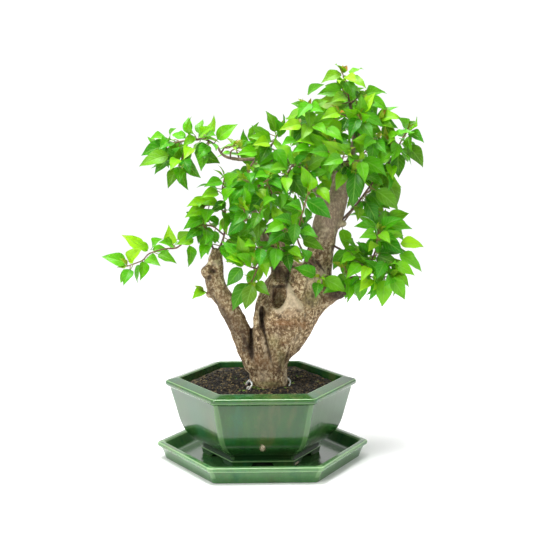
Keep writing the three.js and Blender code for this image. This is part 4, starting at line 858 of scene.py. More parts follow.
def remeshed(points, faces, voxel):
    # one even skin round everything, by Blender's voxel remesh
    mesh = bpy.data.meshes.new("rough")
    mesh.from_pydata((points * mm).tolist(), [], [list(face) for face in faces])
    rough = bpy.data.objects.new("rough", mesh)
    bpy.context.scene.collection.objects.link(rough)
    remesh = rough.modifiers.new("skin", "REMESH")
    remesh.mode = "VOXEL"
    remesh.voxel_size = voxel * mm
    remesh.adaptivity = 0
    smooth = rough.modifiers.new("soften", "SMOOTH")
    smooth.factor = 0.5
    smooth.iterations = 2
    shown = rough.evaluated_get(bpy.context.evaluated_depsgraph_get())
    made = shown.to_mesh()
    count = len(made.vertices)
    corners = np.zeros(count * 3)
    made.vertices.foreach_get("co", corners)
    normals = np.zeros(count * 3)
    made.vertices.foreach_get("normal", normals)
    quads = np.zeros(len(made.loops), np.int32)
    made.loops.foreach_get("vertex_index", quads)
    shown.to_mesh_clear()
    bpy.data.objects.remove(rough)
    bpy.data.meshes.remove(mesh)
    return corners.reshape(-1, 3) / mm, normals.reshape(-1, 3), quads.reshape(-1, 4)


def carve(points, normals):
    # each pit presses the front straight back, depth smoothStep(1.15, 0.8, r), where r is the
    # elliptic distance from its middle
    across, up = seenFrom(points)
    front = smoothStep(0.3, -0.1, normals[:, 1])
    for row in pits:
        u = up - row[1]
        r = np.hypot((across - row[0] - row[4] * u) / row[2], u / row[3])
        points[:, 1] += front * row[5] * smoothStep(1.15, 0.8, r)
    return points


def makeBark():
    # bark of an old bougainvillea: thin corky bark with upright cracks, olive algae, dark rot on the
    # scars, and painted shade in the hollows, clefts and cracks, quite matt
    material, tree = newMaterial("oldCorkyBark")
    place = add(tree, "TexCoord")
    dark = add(tree, "Attribute", attribute_name="dark")
    pale = add(tree, "Attribute", attribute_name="paleWood")
    rust = add(tree, "Attribute", attribute_name="rust")
    algae = add(tree, "Attribute", attribute_name="algae")
    depth = add(tree, "Attribute", attribute_name="depth")
    smoothBark = add(tree, "Attribute", attribute_name="smoothBark")
    # flakes of bark 2 to 4 mm across, pale where the skin has come off, over patches of 12 mm
    upright = add(tree, "Mapping", {"Vector": place.outputs["Object"], "Scale": (1, 1, 0.8)})
    fibres = add(
        tree, "TexNoise", {"Vector": upright, "Scale": perCell(2.632), "Detail": 6.0, "Roughness": 0.7}
    )
    patches = add(
        tree, "TexNoise", {"Vector": upright, "Scale": perCell(12.5), "Detail": 5.0, "Roughness": 0.62}
    )
    grains = add(
        tree,
        "TexNoise",
        {"Vector": place.outputs["Object"], "Scale": perCell(1.429), "Detail": 2.0, "Roughness": 0.6},
    )
    ground = add(
        tree,
        "ValToRGB",
        {"Fac": patches},
        ramp=[(0.34, "#59432b"), (0.46, "#82684a"), (0.56, "#a18760"), (0.68, "#c4ae86")],
    )
    flakes = add(
        tree,
        "ValToRGB",
        {"Fac": fibres},
        ramp=[(0.39, "#26190d"), (0.465, "#705539"), (0.53, "#ad9168"), (0.59, "#f0e1ba")],
    )
    mingled = add(tree, "MixRGB", {"Fac": 0.7, "Color1": ground, "Color2": flakes})
    # stretches about 24 mm across, where the bark is older and darker
    stretches = add(
        tree,
        "TexNoise",
        {"Vector": place.outputs["Object"], "Scale": perCell(23.8), "Detail": 4.0, "Roughness": 0.65},
    )
    older = add(
        tree, "MapRange", {"Value": stretches, "From Min": 0.47, "From Max": 0.64, "To Max": 0.4}
    )
    colour = add(tree, "MixRGB", {"Fac": older, "Color1": mingled, "Color2": "#5a452f"})
    # the younger bark above is smoother and greyer
    colour = add(
        tree, "MixRGB", {"Fac": smoothBark.outputs["Fac"], "Color1": colour, "Color2": "#8f7d6c"}
    )
    # each layer's edge is broken up by the flakes
    for layer, tone, share in (
        (pale, "#d9c8a8", 0.62),
        (rust, "#8f5f34", 0.5),
        (algae, "#8d8a55", 0.55),
        # dark: rot, and painted shade in the pits, clefts and grooves
        (dark, "#2b1d14", 0.86),
        # depth: painted shade darkening the cracks of the relief
        (depth, "#35261b", 0.75),
    ):
        broken = add(
            tree, "Math", {0: fibres, 1: 0.9, 2: layer.outputs["Fac"]}, operation="MULTIPLY_ADD"
        )
        gated = add(
            tree, "MapRange", {"Value": broken, "From Min": 0.6, "From Max": 1.15, "To Max": share}
        )
        colour = add(tree, "MixRGB", {"Fac": gated, "Color1": colour, "Color2": tone})
    cracks = add(tree, "Bump", {"Height": fibres, "Strength": 0.9, "Distance": 0.002})
    pores = add(tree, "Bump", {"Height": grains, "Strength": 0.4, "Distance": 0.0004, "Normal": cracks})
    shader = add(tree, "BsdfPrincipled", {"Base Color": colour, "Roughness": 0.82, "Normal": pores})
    add(tree, "OutputMaterial", {"Surface": shader})
    return material


def makeTrunk():
    parts = []
    for limb in limbs.values():
        stops = np.array(limb, float)
        path = curveThrough(np.column_stack([seen(stops), stops[:, 3:]]), 8 * len(stops))
        sides = barkShape["sides"] if stops[:, 3].max() > 10 else 14
        parts.append(tube(path[:, :3], path[:, 3], path[:, 4], sides))
    parts += [ballPoints(knob) for knob in knobs]
    points, normals, faces = remeshed(*stack(parts), barkShape["voxel"])
    points, normals, faces = remeshed(carve(points, normals), faces, barkShape["voxel"])
    front = smoothStep(0.25, -0.35, normals[:, 1])
    across, up = seenFrom(points)
    # thick wood is the more wrinkled: the relief fades on the thin branches above
    old = 1 - 0.75 * smoothStep(215, 300, up)
    # upright cracks, twice as tall as wide, run where the noise crosses zero
    upright = points * [1, 1, 0.5]
    cracks = 0.45 - np.abs(noise(upright, 6.5, 11)) * 1.1 - np.abs(noise(upright, 3.2, 12)) * 0.6
    lumps = noise(points, 13, 13) * 0.9 + noise(points, 6, 14) * 0.6
    height = (cracks * 0.9 + lumps) * old
    height += spots(points, front, relief)
    # the lip follows the main hollow's edge: rise exp(-((r - at) / width)^2), fading away from
    # its thickest place
    midAcross, midUp, halfWidth, halfHeight, slant, _ = pits[0]
    a = (across - midAcross - slant * (up - midUp)) / halfWidth
    u = (up - midUp) / halfHeight
    r = np.hypot(a, u)
    facing = np.clip(0.35 + 0.75 * np.cos(np.arctan2(u, a) - lip["turn"]), 0, 1)
    lipShare = front * facing * np.exp(-(((r - lip["at"]) / lip["width"]) ** 2))
    height += lip["rise"] * lipShare
    # growth rings round a healed knot, rise cos(2 pi r / spacing) exp(-(r / reach)^2)
    midAcross, midUp, spacing, reach, rise = barkShape["swirl"]
    ring = np.hypot(across - midAcross, 0.8 * (up - midUp)) + 2.2 * noise(points, 7, 16)
    height += front * rise * np.cos(2 * math.pi * ring / spacing) * np.exp(-((ring / reach) ** 2))
    # level wrinkles under the hollow, rise cos(2 pi up / spacing), fading round their middle
    midAcross, midUp, halfWidth, halfHeight, spacing, rise = barkShape["wrinkles"]
    wave = np.cos(2 * math.pi * (up - 0.12 * across + 1.2 * noise(points, 9, 15)) / spacing)
    near = np.exp(-(((across - midAcross) / halfWidth) ** 2) - ((up - midUp) / halfHeight) ** 2)
    height += front * rise * wave * near
    points = points + normals * np.clip(height, *barkShape["relief"])[:, None]
    # painted shade: the bark is coloured darker where the relief's cracks sink in
    crackShade = smoothStep(-0.15, -1.0, cracks * old + 0.3 * lumps) * 0.8
    makePiece(
        "trunk_bark",
        points,
        faces,
        makeBark(),
        ["trunk"],
        {
            # dark: rot, and painted shade in the pits, clefts and grooves
            "dark": np.clip(spots(points, front, rotAndShadeSpots), 0, 1),
            "paleWood": np.clip(spots(points, front, paleSpots) + lipShare, 0, 1),
            "rust": np.clip(spots(points, front, rustSpots), 0, 1),
            "algae": np.clip(spots(points, front, algaeSpots), 0, 1),
            "depth": np.clip(crackShade, 0, 1),
            "smoothBark": 0.7 * smoothStep(208, 245, up),
        },
    )
    print("stage: trunk with", len(points), "points")


makeTrunk()

# White plastic tie that anchors the trunk in the pot
tieShape = {
    "width": 2.1,
    "stops": [
        (-15.8, -7, 78), (-14.4, -10.5, 82.6), (-11.4, -13, 84), (-9.9, -15.6, 81),
        (-12.2, -19.6, 78.8), (-12, -22.4, 76.6), (-6, -21, 73.8), (4, -20, 72.6),
        (18, -19, 72.8), (26.6, -10, 75.4), (29.8, -3, 80.4), (27.4, 10, 81.4),
        (17, 19, 81.8), (4, 20.5, 81.6), (-7, 15, 81), (-13.4, 5, 79.4), (-15.4, -3, 76.4),
    ],
    "knot": (-13.2, -20.6, 78.4),
}


def makeTie():
    # matt white polyethylene cord, a little see-through and dulled by soil
    material, tree = newMaterial("whitePolyethyleneTie")
    place = add(tree, "TexCoord")
    dirt = add(
        tree, "TexNoise", {"Vector": place.outputs["Object"], "Scale": perCell(3.125), "Detail": 3.0}
    )
    tone = add(tree, "ValToRGB", {"Fac": dirt}, ramp=[(0.35, "#b7ab98"), (0.55, "#f1ede4")])
    shader = add(
        tree, "BsdfPrincipled", {"Base Color": tone, "Roughness": 0.5, "Subsurface Weight": 0.2}
    )
    add(tree, "OutputMaterial", {"Surface": shader})
    path = curveThrough(tieShape["stops"], 110)
    width = np.full(len(path), tieShape["width"])
    cord = tube(path, width, width * 0.8, 10)
    # the knot is two short turns of the cord across each other
    angle = np.linspace(0, 2 * math.pi, 25)[:, None]
    knot = np.array(tieShape["knot"])
    turns = []
    for lean in (0.5, -0.6):
        ring = knot + 1.6 * (
            np.cos(angle) * np.array([math.cos(lean), 0.35, math.sin(lean)])
            + np.sin(angle) * np.array([-math.sin(lean), 0.3, math.cos(lean)])
        )
        turns.append(tube(ring, width[:25] * 0.85, width[:25] * 0.85, 8))
    points, faces = stack([cord] + turns)
    makePiece("tie_cord", points, faces, material, ["anchor_tie"])


makeTie()
print("stage: tie")

# Foliage. Each spray: twigs as stops of (across, up, depth)
sprays = {
    "far_left": [
        [(-44, 324, 0), (-57, 331, -2), (-72, 330, -4), (-84, 328, -5), (-94, 325, -6)],
        [(-72, 330, -4), (-77, 320, -9), (-82, 307, -12)],
    ],
    "left_top": [
        [(3, 311, 3), (8, 320, -2), (13, 329, -6), (17, 337, -9)],
    ],
    "left_middle": [
        [(-44, 217, -2), (-38, 232, -6), (-36, 250, -8), (-37, 264, -8), (-39, 280, -8),
         (-37, 292, -8)],
        [(-36, 256, -8), (-46, 264, -12), (-56, 264, -14)],
        [(-38, 234, -6), (-48, 242, -10), (-58, 244, -12)],
    ],
    "left_low": [
        [(-47, 216, -2), (-56, 234, -6), (-66, 235, -7), (-76, 229, -7), (-86, 221, -6),
         (-98, 220, -5), (-112, 216, -4), (-123, 207, -3), (-136, 202, -2)],
    ],
    "left_sprig": [
        [(-49, 173, -2), (-55, 174, -5), (-58, 176, -6)],
    ],
    "low_left": [
        [(13, 211, 6), (4, 208, -8), (-4, 199, -18), (-9, 186, -24)],
        [(-4, 199, -18), (-14, 202, -24), (-22, 205, -28)],
    ],
    "trunk_shoot": [
        [(60, 190, -10), (60, 191, -21), (60, 189, -27)],
    ],
    "front_centre": [
        [(58, 198, -2), (52, 205, -17), (42, 218, -24), (37, 232, -26), (40, 248, -31),
         (44, 264, -34), (49, 277, -36)],
        [(37, 232, -26), (28, 238, -32), (20, 242, -36)],
    ],
    "centre_low": [
        [(14, 210, 8), (15, 217, -8), (16, 222, -20), (15, 226, -28)],
        [(16, 222, -20), (6, 222, -26), (-4, 220, -30)],
        [(15, 219, -14), (26, 216, -22), (31, 212, -26)],
    ],
    "centre_left": [
        [(1, 237, 9), (-8, 243, -8), (-14, 250, -20), (-18, 260, -27)],
        [(-8, 243, -8), (-4, 252, -22), (0, 260, -32)],
    ],
    "centre_high": [
        [(-8, 272, 12), (-4, 281, -4), (2, 287, -16), (8, 291, -25)],
        [(-4, 281, -4), (-12, 286, -12), (-18, 290, -18)],
    ],
    "shelf_front": [
        [(34, 307, 0), (31, 304, -12), (28, 299, -22), (26, 294, -29)],
        [(31, 304, -12), (40, 303, -22), (47, 300, -28)],
    ],
    "shelf_left": [
        [(-6, 310, 2), (-10, 304, -8), (-13, 298, -15)],
        [(-22, 311, 2), (-24, 318, 8), (-26, 324, 14)],
        [(-31, 312, 0), (-30, 319, -6), (-22, 322, -10)],
        [(-40, 318, 0), (-36, 323, -5), (-29, 324, -9)],
    ],
    "crown_left": [
        [(60, 339, -2), (55, 346, -10), (51, 354, -16), (48, 363, -18)],
        [(55, 346, -10), (46, 345, -17), (38, 345, -22)],
    ],
    "crown_front_left": [
        [(70, 322, 0), (64, 321, -12), (58, 319, -22), (52, 316, -30)],
        [(64, 321, -12), (68, 326, -22), (70, 329, -30)],
    ],
    "crown_top": [
        [(90, 363, 2), (88, 374, 0), (85, 386, -2), (82, 397, -3)],
        [(90, 366, 2), (97, 372, -2), (103, 376, -4)],
    ],
    "crown_front": [
        [(94, 347, 5), (95, 350, -8), (97, 352, -18), (99, 352, -26)],
        [(95, 350, -8), (86, 354, -16), (78, 357, -22)],
    ],
    "crown_middle": [
        [(84, 303, -1), (82, 308, -12), (83, 313, -22), (85, 317, -30)],
        [(82, 308, -12), (92, 309, -20), (99, 309, -26)],
    ],
    "crown_right": [
        [(95, 336, 6), (104, 340, 0), (114, 345, -6), (120, 349, -10)],
        [(104, 340, 0), (112, 334, -8), (118, 330, -14)],
    ],
    "right_twig": [
        [(80, 246, 4), (95, 262, -2), (105, 275, -5), (113, 286, -6), (121, 296, -6),
         (129, 306, -5), (137, 319, -4), (143, 331, -3), (148, 340, -2)],
        [(137, 319, -4), (133, 325, -10), (129, 330, -14)],
    ],
    "right_middle": [
        [(66, 227, 5), (84, 217, -2), (93, 211, -6), (103, 205, -8), (118, 205, -10),
         (133, 206, -12)],
        [(112, 204, -9), (117, 216, -10), (119, 228, -10), (120, 238, -10)],
    ],
    "right_low": [
        [(86, 185, -8), (94, 190, -9), (104, 190, -12), (118, 190, -14), (132, 190, -14)],
        [(90, 188, -9), (88, 194, -10), (86, 199, -10)],
    ],
    "back_top": [
        [(68, 318, 46), (70, 336, 44), (76, 352, 42), (80, 366, 38)],
        [(70, 336, 44), (56, 346, 52), (46, 352, 56)],
    ],
    "back_right": [
        [(75, 283, 38), (90, 300, 46), (104, 316, 50), (116, 330, 50)],
        [(90, 300, 46), (106, 300, 58), (118, 302, 64)],
    ],
    "back_right_low": [
        [(70, 232, 16), (84, 246, 30), (100, 268, 42), (114, 282, 48)],
        [(100, 268, 42), (116, 258, 48), (126, 246, 50)],
    ],
    "back_middle": [
        [(72, 296, 42), (58, 304, 54), (44, 308, 62), (30, 306, 68)],
        [(58, 304, 54), (56, 318, 64), (52, 330, 70)],
    ],
    "back_centre": [
        [(18, 252, 42), (14, 268, 48), (8, 284, 50), (4, 298, 50)],
        [(14, 268, 48), (28, 276, 58), (38, 280, 64)],
    ],
    "back_left": [
        [(-8, 280, 14), (-12, 292, 28), (-14, 306, 40), (-12, 320, 46)],
        [(-12, 292, 28), (-2, 300, 42), (6, 308, 52)],
    ],
    "back_low_left": [
        [(20, 232, 36), (6, 238, 46), (-8, 246, 50), (-20, 254, 50)],
        [(6, 238, 46), (8, 226, 56), (8, 216, 60)],
    ],
}
leafShape = {
    "rows": 11,
    "columns": 7,
    "fold": 0.34,  # rise of each edge, as a share of its distance from the midrib
    "ripple": 0.16,  # of the edge, as a share of the half width
    "droop": 0.09,  # how far the tip hangs, as a share of the length
    "petiole": (1.15, 0.8),  # width at the twig and at the blade
    "twig": (2.3, 1.1),  # width at its root and at its end
    "twigSides": 9,
    "width": 0.84,  # of the faceted solid's, whose corners lie outside the true edge
    "extra": 1.5,  # smaller leaves added for each leaf of the solid, unless the next line says
    "extraOf": {
        "left_low": 0.5, "left_sprig": 0.0, "trunk_shoot": 0.3, "crown_top": 2.4,
        "crown_front": 2.2, "crown_right": 2.2, "right_middle": 2.3, "right_low": 2.2,
        "right_twig": 2.2, "shelf_left": 2.4,
    },
    "extraBreadth": 0.68,  # width of an added leaf, as a share of its length
    "tipLeaves": 4,  # young leaves at the end of each twig
    "tipBreadth": 0.5,
}


def makeLeafMaterial():
    # fresh bougainvillea leaf: thin, satin above from its wax, the midrib and side veins paler,
    # light shining through yellow-green
    material, tree = newMaterial("freshLeaf")
    place = add(tree, "TexCoord")
    surface = add(tree, "UVMap", uv_map="surface")
    # tint: each leaf's own tone, darkened as painted shade where other leaves lie above it
    tint = add(tree, "Attribute", attribute_name="tint")
    young = add(tree, "Attribute", attribute_name="young")
    split = add(tree, "SeparateXYZ", {"Vector": surface})
    # u runs from -1 to 1 across the blade and v from the base to the tip
    across = add(tree, "Math", {0: split.outputs["X"]}, operation="ABSOLUTE")
    midrib = add(
        tree,
        "MapRange",
        {
            "Value": across,
            "From Min": 0.03,
            "From Max": 0.12,
            "To Min": 1.0,
            "To Max": 0.0,
        },
    )
    slanted = add(tree, "Math", {0: across, 1: -0.28, 2: split.outputs["Y"]}, operation="MULTIPLY_ADD")
    # six pairs of side veins, curving to the tip
    beat = add(tree, "Math", {0: slanted, 1: 40.0}, operation="MULTIPLY")
    wave = add(tree, "Math", {0: beat}, operation="SINE")
    sideVeins = add(tree, "MapRange", {"Value": wave, "From Min": 0.82, "To Max": 0.7})
    veins = add(tree, "Math", {0: midrib, 1: sideVeins}, operation="MAXIMUM")
    mottle = add(
        tree,
        "TexNoise",
        {"Vector": place.outputs["Object"], "Scale": perCell(6.25), "Detail": 3.0, "Roughness": 0.6},
    )
    mixedTint = add(tree, "Math", {0: mottle, 1: 0.3, 2: tint.outputs["Fac"]}, operation="MULTIPLY_ADD")
    blade = add(
        tree,
        "ValToRGB",
        {"Fac": mixedTint},
        ramp=[(0.1, "#135600"), (0.4, "#2f9100"), (0.7, "#5ab700"), (1.0, "#98d40e")],
    )
    # the youngest are yellow-green, and the very tips of shoots red-brown
    youngTone = add(
        tree,
        "ValToRGB",
        {"Fac": young.outputs["Fac"]},
        ramp=[(0.0, "#7fb81c"), (0.6, "#a3b92a"), (0.9, "#ac6c2a")],
    )
    fresh = add(tree, "MixRGB", {"Fac": young.outputs["Fac"], "Color1": blade, "Color2": youngTone})
    faint = add(tree, "Math", {0: veins, 1: 0.45}, operation="MULTIPLY")
    veined = add(tree, "MixRGB", {"Fac": faint, "Color1": fresh, "Color2": "#8cc24c"})
    sunken = add(tree, "Math", {0: veins, 1: -1.0}, operation="MULTIPLY")
    bump = add(tree, "Bump", {"Height": sunken, "Strength": 0.5, "Distance": 0.0006})
    shader = add(
        tree,
        "BsdfPrincipled",
        {
            "Base Color": veined,
            "Roughness": 0.38,
            "IOR": 1.42,
            "Specular IOR Level": 0.42,
            "Normal": bump,
        },
    )
    through = add(tree, "TexNoise", {"Vector": place.outputs["Object"], "Scale": perCell(6.25)})
    glow = add(tree, "MixRGB", {"Fac": through, "Color1": "#5aa302", "Color2": "#8cc60c"})
    lit = add(tree, "BsdfTranslucent", {"Color": glow, "Normal": bump})
    both = add(tree, "MixShader", {0: 0.2, 1: shader, 2: lit})
    add(tree, "OutputMaterial", {"Surface": both})
    return material


def makeStemMaterial():
    # young shoots and petioles: green skin flushed with red-brown, corky brown where older
    material, tree = newMaterial("youngShootBark")
    place = add(tree, "TexCoord")
    age = add(tree, "Attribute", attribute_name="age")
    blotches = add(
        tree,
        "TexNoise",
        {"Vector": place.outputs["Object"], "Scale": perCell(3.846), "Detail": 4.0, "Roughness": 0.6},
    )
    older = add(tree, "Math", {0: blotches, 1: 0.4, 2: age.outputs["Fac"]}, operation="MULTIPLY_ADD")
    tone = add(
        tree,
        "ValToRGB",
        {"Fac": older},
        ramp=[(0.15, "#7d9a35"), (0.45, "#86693a"), (0.7, "#6f4a36"), (1.0, "#4d3427")],
    )
    bump = add(tree, "Bump", {"Height": blotches, "Strength": 0.4, "Distance": 0.0004})
    shader = add(
        tree,
        "BsdfPrincipled",
        {
            "Base Color": tone,
            "Roughness": 0.6,
            "Sheen Weight": 0.15,
            "Sheen Roughness": 0.5,
            "Normal": bump,
        },
    )
    add(tree, "OutputMaterial", {"Surface": shader})
    return material


leafMaterial = makeLeafMaterial()
stemMaterial = makeStemMaterial()


solidLeaf = {
    "outer": 0.68,
    "inner": 0.32,
    "halfWidth": 0.571,  # at the outer share, as a share of the widest
    "facetExcess": 1.06,
    "midribGap": (0.9, 1.5),
}


def readLeaves(node):
    # Each leaf of the faceted solid ends in a corner with four neighbours: left edge, top of the
    # midrib, right edge and bottom of the midrib, at the outer share of its length. Those join
    # four at the inner share, then three at its base. The midrib's top and bottom lie 1.2 mm apart.
    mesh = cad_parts[node].data
    corners = np.zeros(len(mesh.vertices) * 3)
    mesh.vertices.foreach_get("co", corners)
    mesh.calc_loop_triangles()
    triangles = np.zeros(len(mesh.loop_triangles) * 3, np.int32)
    mesh.loop_triangles.foreach_get("vertices", triangles)
    corners = corners.reshape(-1, 3) / mm
    _, first, same = np.unique(
        np.round(corners * 200).astype(np.int64), axis=0, return_index=True, return_inverse=True
    )
    points = corners[first]
    triangles = same.reshape(-1)[triangles].reshape(-1, 3)
    outer, inner = solidLeaf["outer"], solidLeaf["inner"]
    narrowest, widest = solidLeaf["midribGap"]
    narrower = 1 / (solidLeaf["facetExcess"] * solidLeaf["halfWidth"])
    near = [set() for _ in points]
    for a, b, c in triangles.tolist():
        near[a] |= {b, c} - {a}
        near[b] |= {a, c} - {b}
        near[c] |= {a, b} - {c}

    def midrib(ring):
        # the two that lie nearest to each other
        pairs = list(itertools.combinations(sorted(ring), 2))
        apart = [np.linalg.norm(points[a] - points[b]) for a, b in pairs]
        nearest = int(np.argmin(apart))
        return pairs[nearest], apart[nearest]

    leaves = []
    for tip in range(len(points)):
        ring = near[tip]
        if len(ring) != 4:
            continue
        pair, apart = midrib(ring)
        innerRing = set().union(*[near[k] for k in ring]) - ring - {tip}
        if not narrowest < apart < widest or len(innerRing) != 4:
            continue
        innerPair, innerApart = midrib(innerRing)
        if not narrowest < innerApart < widest:
            continue
        foot = set().union(*[near[k] for k in innerRing]) - innerRing - ring
        beyond = set().union(*[near[k] for k in foot]) - foot - innerRing
        middle = points[list(pair)].mean(0)
        innerMiddle = points[list(innerPair)].mean(0)
        edges = points[sorted(ring - set(pair))]
        face = unit(points[pair[0]] - points[pair[1]])
        face = face * np.sign((edges.mean(0) - middle) @ face)
        # the midline is (1-t)^2 base + 2t(1-t) crown + t^2 tip, known at the two shares
        base = points[tip] + (innerMiddle - middle) / (outer - inner)
        crown = (middle - inner**2 * base - outer**2 * points[tip]) / (2 * outer * inner)
        root = points[sorted(beyond)].mean(0) if 2 <= len(beyond) <= 6 else base
        leaves.append(
            {
                "tip": points[tip],
                "base": base,
                "crown": crown,
                "face": face,
                "width": np.linalg.norm(edges[0] - edges[1]) * narrower,
                "root": root,
            }
        )
    return {key: np.array([leaf[key] for leaf in leaves]) for key in leaves[0]} if leaves else None


def bladeGrids(leaves, tint, young, ripple):
    # For each leaf a grid over t (base to tip) and s (edge to edge): the midline's point, plus
    # half width f(t) s to the side, plus a fold, a ripple of the edge and a hanging tip upwards;
    # f(t) = sin(pi t^0.68) (1 - 0.48 t^2.2), drawn out to a fine tip.
    rows, columns = leafShape["rows"], leafShape["columns"]
    t = np.linspace(0, 1, rows) ** 1.05
    s = np.linspace(-1, 1, columns)
    base, crown, tip = (leaves[key][:, None] for key in ("base", "crown", "tip"))
    step = t[None, :, None]
    middle = (1 - step) ** 2 * base + 2 * step * (1 - step) * crown + step**2 * tip
    along = unit((1 - step) * (crown - base) + step * (tip - crown))
    face = leaves["face"][:, None]
    up = unit(face - along * (face * along).sum(-1, keepdims=True))
    side = np.cross(along, up)
    length = np.linalg.norm(leaves["tip"] - leaves["base"], axis=1)[:, None]
    outline = np.sin(math.pi * t**0.68) * (1 - 0.48 * t**2.2)
    outline = np.maximum(outline, 0.03 * (1 - t))
    half = leafShape["width"] * leaves["width"][:, None] / 2 * outline
    phase = draws.uniform(0, 2 * math.pi, (len(base), 1))
    turns = draws.uniform(1.6, 2.6, (len(base), 1))
    twist = draws.normal(0, 0.12, (len(base), 1))
    wave = ripple[:, None] * np.sin(phase + 2 * math.pi * turns * t)
    otherWave = ripple[:, None] * np.sin(1.7 + phase - 2 * math.pi * turns * t)
    edge = np.abs(s)[None, None, :]
    rise = half[..., None] * (
        leafShape["fold"] * edge**1.3
        + np.where(s > 0, wave[..., None], otherWave[..., None]) * edge**2
        + twist[..., None] * s[None, None, :] * t[None, :, None] * 0.8
    )
    hang = leafShape["droop"] * length * (t**3)[None] * draws.uniform(0.2, 1.6, (len(base), 1))
    points = (
        middle[:, :, None]
        + side[:, :, None] * (half[..., None] * s[None, None, :])[..., None]
        + up[:, :, None] * (rise - hang[..., None])[..., None]
    )
    count = len(points)
    uv = np.stack(
        [
            np.broadcast_to(s[None, None, :], points.shape[:3]),
            np.broadcast_to(t[None, :, None], points.shape[:3]),
        ],
        axis=-1,
    )
    size = rows * columns
    return (
        points.reshape(-1, 3),
        manyGrids(count, rows, columns),
        uv.reshape(-1, 2),
        np.repeat(tint, size),
        np.repeat(young, size),
    )


def petioleTubes(leaves, age):
    # a bent stalk from twig to blade: a quadratic curve that leaves the twig and meets the
    # midline, with six points round it
    stations, sides = 5, 6
    root, base = leaves["root"][:, None], leaves["base"][:, None]
    onward = unit(leaves["crown"] - leaves["base"])[:, None]
    reach = np.linalg.norm(base - root, axis=-1, keepdims=True)
    inward = root - 0.12 * (base - root)
    bend = base - onward * reach * 0.4
    t = np.linspace(0, 1, stations)[None, :, None]
    path = (1 - t) ** 2 * inward + 2 * t * (1 - t) * bend + t**2 * (base + onward * 0.6)
    along = unit(np.gradient(path, axis=1))
    side = unit(np.cross(along, leaves["face"][:, None] + 0.01))
    up = np.cross(side, along)
    angle = np.arange(sides) * 2 * math.pi / sides
    thick, thin = leafShape["petiole"]
    radius = (thick + (thin - thick) * t[0, :, 0]) / 2
    points = path[:, :, None] + radius[None, :, None, None] * (
        side[:, :, None] * np.cos(angle)[None, None, :, None]
        + up[:, :, None] * np.sin(angle)[None, None, :, None]
    )
    faces = manyGrids(len(points), stations, sides, loopColumns=True).tolist()
    starts = np.arange(len(points))[:, None] * stations * sides
    faces += (starts + np.arange(sides)[::-1]).tolist()
    faces += (starts + (stations - 1) * sides + np.arange(sides)).tolist()
    return points.reshape(-1, 3), faces, np.repeat(age, stations * sides)


# seen from the front: parts of the crown that stay open (least across, most across, least up,
# most up), where the sky or the wood shows
openViews = [
    (76, 112, 224, 260), (70, 88, 186, 214), (-42, -10, 292, 318), (-62, 64, 60, 207),
    (48, 84, 200, 282), (-160, -92, 232, 292),
]


def archedLeaves(base, tip, face, root, width):
    # the middle of the midline is pulled up by 0.16 of the length, square to base and tip
    heading = unit(tip - base)
    up = unit(face - heading * (face * heading).sum(-1, keepdims=True))
    length = np.linalg.norm(tip - base, axis=-1, keepdims=True)
    crown = (base + tip) / 2 + up * length * 0.16
    return {"tip": tip, "base": base, "crown": crown, "face": up, "width": width, "root": root}


def extraLeaves(name, leaves, paths, taken):
    # smaller leaves between those of the solid. Each is the roomiest of many draws: it starts at
    # a place on a twig and points nearly the way of the leaf that starts closest.
    tries = 24
    low, high = np.array(cadBox) / mm + [[3.0], [-3.0]]
    route = np.concatenate([path[len(path) // 6 :] for path in paths])
    made = []
    share = leafShape["extraOf"].get(name, leafShape["extra"])
    for _ in range(round(len(leaves["tip"]) * share)):
        root = route[draws.integers(0, len(route), tries)]
        near = np.argmin(np.linalg.norm(leaves["root"][None] - root[:, None], axis=2), axis=1)
        heading = unit(leaves["tip"][near] - leaves["base"][near])
        heading = unit(heading + 0.5 * draws.normal(size=(tries, 3)) - [0, 0, 0.2])
        stalk = unit(heading + 0.8 * unit(leaves["base"][near] - leaves["root"][near]))
        base = root + stalk * draws.uniform(4, 8, (tries, 1))
        length = draws.uniform(15, 27, (tries, 1))
        tip = base + heading * length
        face = unit(leaves["face"][near] + 0.55 * draws.normal(size=(tries, 3)))
        middle = (base + 2 * tip) / 3
        room = np.linalg.norm(middle[:, None] - taken[None], axis=2).min(1)
        across, up = seenFrom(middle)
        good = ((tip > low) & (tip < high)).all(1)
        for left, right, bottom, top in openViews:
            good &= ~((across > left) & (across < right) & (up > bottom) & (up < top))
        best = int(np.argmax(np.where(good, room, -1)))
        if not good[best] or room[best] < 3:
            continue
        taken = np.concatenate([taken, middle[best][None], ((base + tip) / 2)[best][None]])
        width = length[best, 0] * leafShape["extraBreadth"]
        made.append((base[best], tip[best], face[best], root[best], width))
    return [np.array(column) for column in zip(*made)], taken


def tipLeaves(paths):
    # tiny young leaves in a loose tuft at the end of each twig, inside the frame's box
    low, high = np.array(cadBox) / mm + [[2.0], [-2.0]]
    made = []
    for path in paths:
        end = path[-1]
        onward = unit(path[-1] - path[-3])
        for _ in range(leafShape["tipLeaves"]):
            heading = unit(onward + 0.65 * draws.normal(size=3) + [0, 0, 0.15])
            base = end + heading * 1.5
            length = draws.uniform(7, 15)
            face = unit(np.array([0.2, -0.5, 0.8]) + 0.4 * draws.normal(size=3))
            tip = np.clip(base + heading * length, low, high)
            made.append((base, tip, face, end, length * leafShape["tipBreadth"]))
    return [np.array(column) for column in zip(*made)]


def twigPath(stops, index):
    # a smooth curve through the stops that wanders more and more, up to 0.8 mm at its free end
    path = curveThrough(seen(stops), 7 * len(stops))
    wander = np.stack([noise(path, 9, 31 + index + 7 * axis) for axis in range(3)], axis=1)
    return path + 0.8 * wander * np.linspace(0, 1, len(path))[:, None]


